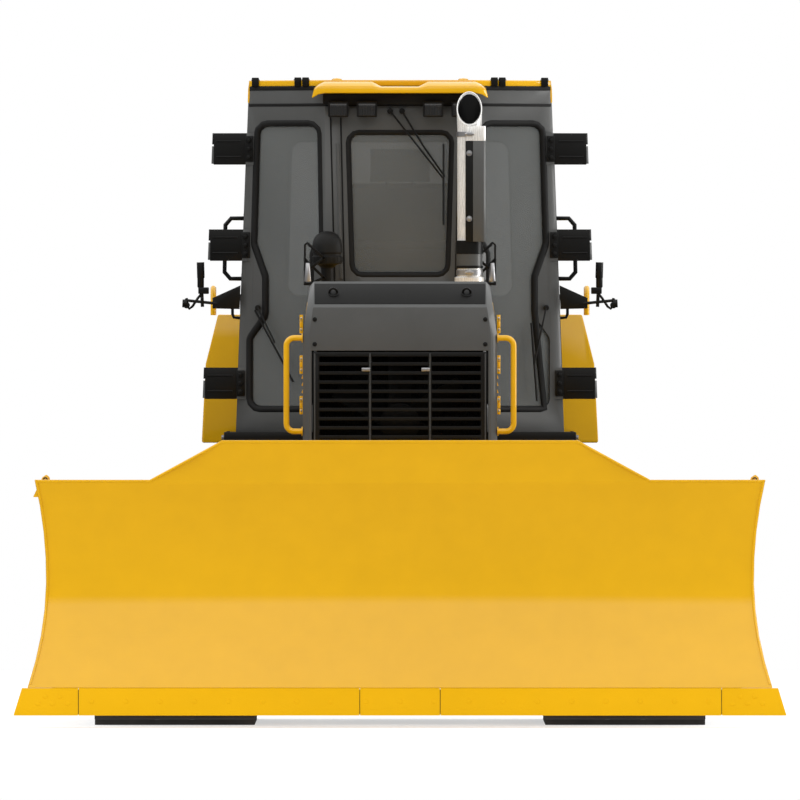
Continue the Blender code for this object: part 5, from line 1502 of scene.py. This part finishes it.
    def lamps(self):
        """Housings, lenses and brackets of the four front work lamps."""
        node = "front_work_lamps"
        lowest, highest = low(node), high(node)
        shells, lenses = [], []
        rear = highest.y
        shells.append(block("bar", (lowest.x - 0.015, rear - 0.05, lowest.z + 0.057),
            (highest.x + 0.015, rear, 2.8125), 0.004))
        for x in (-0.276, -0.148, 0.148, 0.276):
            front, base = lowest.y, lowest.z
            shells.append(block("shell", (x - 0.0455, front + 0.004, base),
                (x + 0.0455, front + 0.066, base + 0.070), 0.006, 3))
            for edge in (-0.043, 0.043):
                shells.append(block("cheek", (x + edge - 0.0025, front, base + 0.002),
                    (x + edge + 0.0025, front + 0.03, base + 0.066), 0.001, 1))
            lenses.append(block("lens", (x - 0.038, front + 0.002, base + 0.006),
                (x + 0.038, front + 0.006, base + 0.060), 0.0015, 2))
            for i in range(5):
                z = base + 0.012 + i * 0.0105
                shells.append(block("fin", (x - 0.040, front + 0.064, z),
                    (x + 0.040, front + 0.074, z + 0.003), 0.0008, 1))
        show("lamp_shells", shells, moulded_plastic)
        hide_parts(node)
        show("lamp_lenses", lenses, smoked_lens)

    def wipers(self):
        """Three wipers: a long one on the windshield and one on each quarter window."""
        arms, blades = [], []

        def wiper(pivots, tip, blade, offset):
            ends = []
            for x, z in pivots:
                y = cab_front_y(x) - offset
                arms.append(bar("hub", (x, y + offset, z), (x, y - 0.012, z), 0.013, 20, 0.002))
                ends.append(Vector((x, y - 0.008, z)))
            tip_place = Vector((tip[0], cab_front_y(tip[0]) - offset - 0.010, tip[1]))
            for k, end in enumerate(ends):
                shift = Vector((0.010 * k, 0, 0.004 * k))
                arms.append(bent("arm", [end, end.lerp(tip_place, 0.5) + Vector((0, -0.008, 0)),
                    tip_place + shift], 0.0042, rounds=2))
            low_end = Vector((blade[0][0], cab_front_y(blade[0][0]) - offset - 0.004, blade[0][1]))
            high_end = Vector((blade[1][0], cab_front_y(blade[1][0]) - offset - 0.004, blade[1][1]))
            blades.append(bent("blade", [low_end, high_end], 0.0048, rounds=2))
            blades.append(bent("spine", [low_end.lerp(high_end, 0.12) + Vector((0, -0.006, 0)),
                low_end.lerp(high_end, 0.88) + Vector((0, -0.006, 0))], 0.003, rounds=2))

        wiper([(-0.044, 2.735), (0.009, 2.735)], (0.190, 2.438), ((0.195, 2.226), (0.195, 2.589)), 0.016)
        wiper([(-0.637, 1.856)], (-0.560, 1.70), ((-0.650, 1.845), (-0.478, 1.524)), 0.022)
        wiper([(0.655, 1.856)], (0.600, 1.60), ((0.588, 1.788), (0.613, 1.438)), 0.022)
        show("wiper_arms", arms, black_enamel, 45)
        show("wiper_blades", blades, rubber, 45)


def cushion(name, lowest, highest, channels=0):
    """A sewn pad: subdivided, crowned, pulled in between its corners, with channels pressed in."""
    lowest = Vector(lowest)
    highest = Vector(highest)
    size = highest - lowest
    middle = (lowest + highest) / 2
    deselect()
    bpy.ops.mesh.primitive_cube_add(size=1, location=(0, 0, 0))
    piece = named(bpy.context.object, name)
    piece.scale = size
    settle(piece)
    edit_all(piece, lambda: bpy.ops.mesh.subdivide(number_cuts=23))
    thin = min(range(3), key=lambda axis: size[axis])
    wide = [axis for axis in range(3) if axis != thin]
    for corner in piece.data.vertices:
        place = corner.co
        shares = [place[axis] / (size[axis] / 2) for axis in wide]
        fullness = (1 - abs(shares[0]) ** 4) * (1 - abs(shares[1]) ** 4)
        reach = place[thin] / (size[thin] / 2)
        squeeze = 0.62 + 0.38 * fullness ** 0.45
        place[thin] = reach * size[thin] / 2 * squeeze
        for axis, other in ((0, 1), (1, 0)):
            place[wide[axis]] *= 1 - 0.018 * (1 - shares[other] ** 2) * abs(shares[axis]) ** 2
        if channels:
            groove = abs(math.sin(math.pi * channels * (shares[1] + 1) / 2))
            place[thin] -= math.copysign(0.006 * math.exp(-(groove / 0.16) ** 2) * fullness,
                reach) * abs(reach)
    apply_modifier(piece, "SUBSURF", levels=1, render_levels=1)
    piece.data.transform(Matrix.Translation(middle))
    return piece


class DOZER_OT_interior(bpy.types.Operator):
    """The operator's seat, armrest pods with their levers, and the monitor"""
    bl_idname = "dozer.interior"
    bl_label = "Cab interior"

    def execute(self, context):
        self.seat()
        self.controls()
        return {"FINISHED"}

    def seat(self):
        node = "operator_seat"
        lowest, highest = low(node), high(node)
        front, rear = lowest.y, highest.y
        floor = lowest.z
        cloth_finish = seat_cloth()
        seat_pad = cushion("seat_cushion", (-0.245, front + 0.03, 1.74), (0.245, rear - 0.13, 1.858), 4)
        back_pad = cushion("seat_back", (-0.24, rear - 0.155, 1.86), (0.24, rear - 0.035, 2.40), 5)
        head_pad = cushion("seat_headrest", (-0.135, rear - 0.135, 2.425), (0.135, rear - 0.045, 2.575))
        for piece in (seat_pad, back_pad, head_pad):
            fit(piece, CHASSIS, cloth_finish, 60)
        shell = [block("base", (-0.20, front + 0.10, floor), (0.20, rear - 0.16, floor + 0.16), 0.012, 3),
            block("bellows", (-0.17, front + 0.13, floor + 0.16), (0.17, rear - 0.18, floor + 0.30), 0.01,
            3), block("pan", (-0.235, front + 0.05, floor + 0.30), (0.235, rear - 0.10, 1.738), 0.014, 3),
            block("backshell", (-0.225, rear - 0.034, 1.82), (0.225, rear - 0.006, 2.42), 0.012, 3)]
        for i in range(5):
            z = floor + 0.168 + i * 0.026
            shell.append(block("pleat", (-0.182, front + 0.12, z), (0.182, rear - 0.17, z + 0.012), 0.004,
                2))
        for x in (-0.06, 0.06):
            shell.append(bar("post", (x, rear - 0.08, 2.38), (x, rear - 0.08, 2.46), 0.007, 16))
        piece = show("seat_shell", shell, moulded_plastic)
        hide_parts(node)
        pods = []
        for side in (1, -1):
            inner, outer = sorted((side * 0.262, side * 0.335))
            pods.append(block("pod", (inner, front + 0.04, 1.80), (outer, rear - 0.20, 2.02), 0.018, 4))
            pods.append(block("stem", (inner + 0.01, front + 0.20, floor),
                (outer - 0.01, rear - 0.34, 1.80), 0.01, 2))
        show("armrest_pods", pods, moulded_plastic)
        for side in (1, -1):
            inner, outer = sorted((side * 0.264, side * 0.333))
            rest = cushion(f"armrest_pad_{'left' if side > 0 else 'right'}", (inner, front + 0.16, 2.022),
                (outer, rear - 0.22, 2.06))
            fit(rest, CHASSIS, cloth_finish, 60)

    def controls(self):
        """A lever on each pod, and the monitor on the console."""
        front = low("operator_seat").y
        parts = []
        for side in (1, -1):
            x = side * 0.298
            y = front + 0.085
            parts.append(turned("boot", [(0.034, 2.018), (0.032, 2.024), (0.026, 2.030), (0.028, 2.036),
                (0.021, 2.042), (0.022, 2.048), (0.012, 2.056), (0.010, 2.07), (0.001, 2.07)], (x, y, 0),
                (0, 0, 1), 28))
            parts.append(turned("grip", [(0.011, 2.060), (0.016, 2.075), (0.019, 2.10), (0.016, 2.125),
                (0.021, 2.145), (0.024, 2.160), (0.021, 2.172), (0.001, 2.176)], (x, y, 0), (0, 0, 1), 28))
            parts.append(block("switch", (x - 0.007, y - 0.026, 2.148), (x + 0.007, y - 0.018, 2.162),
                0.002))
        show("control_levers", parts, moulded_plastic, 40)
        top = high("console").z
        y = low("console").y
        rear = high("console").y
        screen = [block("monitor", (-0.12, (y + rear) / 2 - 0.02, top - 0.012),
            (0.12, (y + rear) / 2 + 0.02, top - 0.001), 0.004, 2)]
        show("console_lip", screen, moulded_plastic)


class DOZER_OT_cylinders(bpy.types.Operator):
    """The lift, angle and tilt cylinders with glands, end caps, ports and hose ends"""
    bl_idname = "dozer.cylinders"
    bl_label = "Cylinders"

    def execute(self, context):
        for word, side in SIDES:
            x = side * (low("lift_cylinder_barrel_left").x + high("lift_cylinder_barrel_left").x) / 2
            self.cylinder(f"lift_cylinder_barrel_{word}", f"lift_cylinder_rod_{word}", at(x, -0.95, 1.21),
                at(x, -0.92, 0.60), Vector((1, 0, 0)), 0.37, 0.262, 0.030, 0.024, Vector((0, -1, 0)))
            self.cylinder(f"angle_cylinder_barrel_{word}", f"angle_cylinder_rod_{word}",
                at(side * 0.52, -1.30, 0.62), at(side * 0.53, -2.36, 0.62), Vector((0, 0, 1)), 0.72, 0.32,
                0.045, 0.045, Vector((0, 0, 1)))
        self.cylinder("tilt_cylinder_barrel", "tilt_cylinder_rod", at(-0.36, -2.468, 0.90),
            at(0.36, -2.468, 0.92), Vector((0, 1, 0)), 0.46, 0.26, 0.026, 0.026, Vector((0, 0, 1)))
        return {"FINISHED"}

    def cylinder(self, barrel, rod, tail, eye, hinge, reach, start, tail_half, eye_half, up):
        line = (eye - tail).normalized()
        radius = 0.042
        body = turned("body", [(0.022, 0.034), (radius * 0.86, 0.040), (radius - 0.003, 0.058),
            (radius - 0.003, reach - 0.060), (radius, reach - 0.058), (radius, reach - 0.012),
            (radius - 0.004, reach - 0.008), (0.031, reach), (0.0245, reach), (0.0245, reach - 0.04),
            (0.001, reach - 0.04)], tail, line, 48)
        ring = self.ring(tail, hinge, tail_half, 0.0445, 0.0232)
        parts = [body, ring]
        for share in (0.075, reach - 0.085):
            base = tail + line * share + up * (radius - 0.006)
            parts.append(bar("port", base, base + up * 0.018, 0.013, 6, 0.001))
            parts.append(bar("neck", base + up * 0.016, base + up * 0.026, 0.009, 20, 0.001))
        parts.append(bent("pipe", [tail + line * 0.075 + up * (radius + 0.020),
            tail + line * 0.10 + up * (radius + 0.024),
            tail + line * (reach - 0.11) + up * (radius + 0.024),
            tail + line * (reach - 0.085) + up * (radius + 0.020)], 0.0055, rounds=3))
        piece = show(f"{barrel}_body", parts, yellow_enamel, body=barrel)
        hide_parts(barrel)
        shaft = turned("shaft", [(0.0215, start), (0.0215, (eye - tail).length - 0.034),
            (0.001, (eye - tail).length - 0.034)], tail, line, 40)
        shaft = fit(named(shaft, f"{rod}_shaft"), rod, chrome(), 35)
        end = self.ring(eye, hinge, eye_half, 0.0385, 0.0232)
        collar = turned("collar", [(0.030, (eye - tail).length - 0.060),
            (0.030, (eye - tail).length - 0.030), (0.001, (eye - tail).length - 0.030)], tail, line, 32)
        show(f"{rod}_eye", [end, round_edges(collar, 0.002)], black_enamel, body=rod)
        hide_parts(rod)

    def ring(self, place, direction, half, outer, inner):
        """A bushed eye; its bore is closed by the grease cap of the pin."""
        return turned("eye", [(inner * 0.5, -half), (inner, -half), (inner + 0.004, -half),
            (inner + 0.005, -half + 0.001), (outer - 0.002, -half + 0.001), (outer, -half + 0.003),
            (outer, half - 0.003), (outer - 0.002, half - 0.001), (inner + 0.005, half - 0.001),
            (inner + 0.004, half), (inner * 0.5, half), (0.001, half)], place, direction, 40)


class DOZER_OT_sides(bpy.types.Operator):
    """Side fittings: engine door hinges, latches and louvres, deck studs and bolts, and wheel hubs"""
    bl_idname = "dozer.sides"
    bl_label = "Side fittings"

    def execute(self, context):
        for word, side in SIDES:
            self.engine_door(word, side)
            self.hood_hinges(word, side)
            self.deck(word, side)
            self.undercarriage(word, side)
        return {"FINISHED"}

    def engine_door(self, word, side):
        body = f"engine_door_{word}"
        lowest, highest = low(body), high(body)
        face = side * high("engine_door_left").x
        slats = []
        for column in range(2):
            y = lowest.y + 0.14 + column * 0.44
            for i in range(7):
                z = lowest.z + 0.09 + i * 0.032
                x = sorted((face - side * 0.001, face + side * 0.007))
                slat = plate("slat", [(y, z), (y + 0.34, z), (y + 0.34, z + 0.020), (y, z + 0.020)], "X",
                    *x, 0.0)
                for corner in slat.data.vertices:
                    if corner.co.z > z + 0.01 and abs(corner.co.x) > abs(face) + 0.002:
                        corner.co.x = face
                slats.append(round_edges(slat, 0.0015, 1))
        show(f"engine_door_louvres_{word}", slats, yellow_enamel, 30, body=body)
        latches = []
        for z in (lowest.z + 0.12, highest.z - 0.12):
            x = sorted((face, face + side * 0.005))
            y = highest.y - 0.05
            latches.append(block("plate", (x[0], y - 0.026, z - 0.026), (x[1], y + 0.026, z + 0.026),
                0.003))
            latches.append(bar("lock", (face + side * 0.004, y, z), (face + side * 0.010, y, z), 0.014, 28,
                0.002))
            latches.append(block("tab", (min(face + side * 0.008, face + side * 0.014), y - 0.004,
                z - 0.012), (max(face + side * 0.008, face + side * 0.014), y + 0.004, z + 0.012), 0.001))
        show(f"engine_door_latches_{word}", latches, black_enamel, body=body)

    def hood_hinges(self, word, side):
        """Hinge knuckles down the front edge of the engine door."""
        face = side * high("hood").x
        y = low(f"engine_door_{word}").y - 0.006
        parts = []
        for z in HINGE_HEIGHTS:
            x = face + side * 0.007
            for shift in (-0.028, 0.0, 0.028):
                parts.append(bar("knuckle", (x, y, z + shift - 0.013), (x, y, z + shift + 0.013), 0.008, 20,
                    0.001))
            span = sorted((face - side * 0.001, face + side * 0.004))
            parts.append(block("leaf", (span[0], y - 0.040, z - 0.040), (span[1], y - 0.002, z + 0.040),
                0.0015))
        show(f"engine_door_hinges_{word}", parts, yellow_enamel)
        heads = [(face + side * 0.004, y - 0.024, z + lift) for z in HINGE_HEIGHTS for lift in (-0.025,
            0.025)]
        fit(bolts(f"engine_hinge_bolts_{word}", heads, (side, 0, 0), 0.010), CHASSIS, zinc(),
            30)

    def deck(self, word, side):
        """Raised studs that give a foothold on the deck beside the cab, and the deck's bolts."""
        node = "deck"
        top = high(node).z
        outer = high(node).x
        stud = bar("stud", (0, 0, -0.001), (0, 0, 0.003), 0.007, 10, 0, 0.005)
        places = []
        for i in range(46):
            y = low(node).y + 0.05 + i * 0.028
            if y < high(node).y - 0.03:
                places.append(facing(Vector((side * (outer - 0.016), y, top)), (0, 0, 1)))
        fit(repeated(f"deck_studs_{word}", shade(stud), places), CHASSIS, black_enamel(),
            40)
        edge = [Vector((side * outer, low(node).y + 0.1 + i * 0.28, top - 0.025)) for i in range(5)]
        fit(bolts(f"deck_bolts_{word}", [e - Vector((side * 0.002, 0, 0)) for e in edge], (side, 0, 0),
            0.018), CHASSIS, zinc(), 30)

    def undercarriage(self, word, side):
        """The hub of the idler, and the bolts and cover of the sprocket."""
        idler = at(0, IDLER_Y, RAIL_Z + WHEEL_RADIUS)
        middle = side * (low("track_left").x + high("track_left").x) / 2
        hub = turned(f"idler_hub_{word}", [(0.001, -0.128), (0.05, -0.128), (0.056, -0.122), (0.056, -0.10),
            (0.085, -0.095), (0.092, -0.085), (0.092, 0.085), (0.085, 0.095), (0.056, 0.10),
            (0.056, 0.122), (0.05, 0.128), (0.001, 0.128)], (middle, idler.y, idler.z), (1, 0, 0), 36)
        fit(hub, CHASSIS, cast_iron(), 35)
        ring = []
        spot = (low(f"sprocket_{word}") + high(f"sprocket_{word}")) / 2
        out = high("sprocket_left").x * side
        for i in range(14):
            turn = 2 * math.pi * i / 14
            ring.append((out, spot.y + 0.135 * math.cos(turn), spot.z + 0.135 * math.sin(turn)))
        fit(bolts(f"sprocket_bolts_{word}", [(x - side * 0.002, y, z) for x, y, z in ring], (side, 0, 0),
            0.024), CHASSIS, zinc(), 30)
        cover = turned(f"sprocket_cover_{word}", [(0.155, -0.01), (0.155, 0.006), (0.150, 0.012),
            (0.118, 0.014), (0.112, 0.030), (0.100, 0.038), (0.040, 0.040), (0.001, 0.040)],
            (out - side * 0.004, spot.y, spot.z), (side, 0, 0), 48)
        fit(cover, CHASSIS, yellow_enamel(), 35)


class DOZER_OT_rear(bpy.types.Operator):
    """Rear fittings: tank cap and rails, lamps and hitch pin"""
    bl_idname = "dozer.rear"
    bl_label = "Rear fittings"

    def execute(self, context):
        tank = "rear_fuel_tank"
        top, back = high(tank).z, high(tank).y
        parts = [turned("cap", [(0.055, -0.004), (0.055, 0.004), (0.048, 0.008), (0.048, 0.030),
            (0.044, 0.036), (0.020, 0.038), (0.001, 0.038)], (0.55, back - 0.30, top), (0, 0, 1), 40)]
        for i in range(12):
            turn = 2 * math.pi * i / 12
            parts.append(bar("grip", (0.55 + 0.049 * math.cos(turn), back - 0.30 + 0.049 * math.sin(turn),
                top + 0.008), (0.55 + 0.049 * math.cos(turn), back - 0.30 + 0.049 * math.sin(turn),
                top + 0.030), 0.004, 8))
        show("tank_cap", parts, moulded_plastic)
        shells, lenses = [], []
        for side in (1, -1):
            for x in (0.40, 0.58):
                centre = Vector((side * x, high("cab_frame").y - 0.01, 2.72))
                shells.append(block("shell", centre + Vector((-0.05, 0, -0.035)),
                    centre + Vector((0.05, 0.05, 0.035)), 0.008, 3))
                lenses.append(block("lens", centre + Vector((-0.041, 0.046, -0.027)),
                    centre + Vector((0.041, 0.053, 0.027)), 0.004, 3))
        show("rear_lamp_shells", shells, moulded_plastic)
        show("rear_lamp_lenses", lenses, lens_glass)
        y = high("hitch").y - 0.09
        pin = turned("hitch_pin", [(0.001, 0.470), (0.024, 0.470), (0.0275, 0.476), (0.0275, 0.648),
            (0.045, 0.648), (0.047, 0.652), (0.047, 0.664), (0.040, 0.668), (0.001, 0.668)], (0, y, 0),
            (0, 0, 1), 36)
        fit(pin, CHASSIS, zinc(), 35)
        rails = []
        for side in (1, -1):
            x = side * (high(tank).x - 0.05)
            rails.append(bent("rail", [(x, back - 0.10, top - 0.002), (x, back - 0.10, top + 0.09),
                (x, back - 0.13, top + 0.12), (x, back - 0.42, top + 0.12), (x, back - 0.45, top + 0.09),
                (x, back - 0.45, top - 0.002)], 0.012, rounds=4))
        show("tank_rails", rails, yellow_enamel, 50)
        return {"FINISHED"}


class DOZER_OT_stage(bpy.types.Operator):
    """The studio floor, the lights and the camera"""
    bl_idname = "dozer.stage"
    bl_label = "Studio"

    def execute(self, context):
        self.floor()
        self.lights(context)
        self.camera(context)
        return {"FINISHED"}

    def floor(self):
        deselect()
        bpy.ops.mesh.primitive_plane_add(size=sizes().floor_size, location=(0, 0, 0))
        floor = settle(named(bpy.context.object, "studio_floor"))
        floor.data.materials.append(floor_paint())
        floor.visible_glossy = False

    def lights(self, context):
        for name, place, size, power, tint in (("side_light", (9.5, 0.6, 3.0), 4.0, 330, (1.0, 0.99, 0.97)),
                ("front_light", (-3.0, -9.0, 8.0), 5.0, 120, (0.98, 0.99, 1.0)),
                ("back_light", (0.0, 9.0, 7.0), 6.0, 220, (1.0, 1.0, 1.0))):
            data = bpy.data.lights.new(name, "AREA")
            data.size = size
            data.energy = power
            data.color = tint
            lamp = bpy.data.objects.new(name, data)
            lamp.location = place
            lamp.visible_glossy = name == "side_light"
            lamp.rotation_euler = (Vector((0, 0, 1.2)) - Vector(place)).to_track_quat("-Z", "Y").to_euler()
            context.scene.collection.objects.link(lamp)
        context.scene.world = self.sky()
        context.scene.view_settings.view_transform = "Standard"

    def sky(self):
        """A plain white backdrop whose light falls from above a dim horizon."""
        world = bpy.data.worlds.new("studio_world")
        world.use_nodes = True
        tree = world.node_tree
        direction = add(tree, "ShaderNodeTexCoord").outputs["Generated"]
        height = add(tree, "ShaderNodeSeparateXYZ", {"Vector": direction}).outputs["Z"]
        glow = spread(tree, height, sizes().horizon_light, sizes().sky_light, 0.26, 0.34)
        seen = add(tree, "ShaderNodeLightPath").outputs["Is Camera Ray"]
        strength = add(tree, "ShaderNodeMix", {0: seen, 2: glow, 3: 1.0}).outputs[0]
        tree.nodes["Background"].inputs["Color"].default_value = (1, 1, 1, 1)
        tree.links.new(strength, tree.nodes["Background"].inputs["Strength"])
        return world

    def camera(self, context):
        data = bpy.data.cameras.new("front_camera")
        data.sensor_width = 36.0
        data.lens = sizes().lens
        distance = sizes().view_width * sizes().lens / data.sensor_width
        data.clip_end = distance * 2
        data.clip_start = 1.0
        camera = bpy.data.objects.new("front_camera", data)
        camera.location = (0.0, low("hood_front").y - 0.3 - distance, 1.443)
        camera.rotation_euler = (math.radians(90), 0, 0)
        context.scene.collection.objects.link(camera)
        context.scene.camera = camera


STEPS = ("stage", "shell", "roof", "edges", "tracks", "nose", "stack", "cab", "interior", "cylinders",
    "sides", "rear")


class DOZER_PT_panel(bpy.types.Panel):
    """Buttons and values of the bulldozer's looks"""
    bl_idname = "DOZER_PT_panel"
    bl_label = "Bulldozer"
    bl_space_type = "VIEW_3D"
    bl_region_type = "UI"
    bl_category = "Bulldozer"

    def draw(self, context):
        column = self.layout.column(align=True)
        for step in STEPS:
            column.operator(f"dozer.{step}")
        for group in (context.scene.dozer_sizes, context.scene.dozer_colours):
            box = self.layout.box()
            for key in group.bl_rna.properties.keys():
                if key not in ("rna_type", "name"):
                    box.prop(group, key)


CLASSES = (DozerSizes, DozerColours, DOZER_OT_stage, DOZER_OT_shell, DOZER_OT_roof, DOZER_OT_edges,
    DOZER_OT_tracks, DOZER_OT_nose, DOZER_OT_stack, DOZER_OT_cab, DOZER_OT_interior, DOZER_OT_cylinders,
    DOZER_OT_sides, DOZER_OT_rear, DOZER_PT_panel)


def register():
    for item in CLASSES:
        bpy.utils.register_class(item)
    bpy.types.Scene.dozer_sizes = bpy.props.PointerProperty(type=DozerSizes)
    bpy.types.Scene.dozer_colours = bpy.props.PointerProperty(type=DozerColours)


def unregister():
    del bpy.types.Scene.dozer_colours
    del bpy.types.Scene.dozer_sizes
    for item in reversed(CLASSES):
        bpy.utils.unregister_class(item)


def main():
    register()
    for step in STEPS:
        getattr(bpy.ops.dozer, step)()


if __name__ == "__main__":
    main()
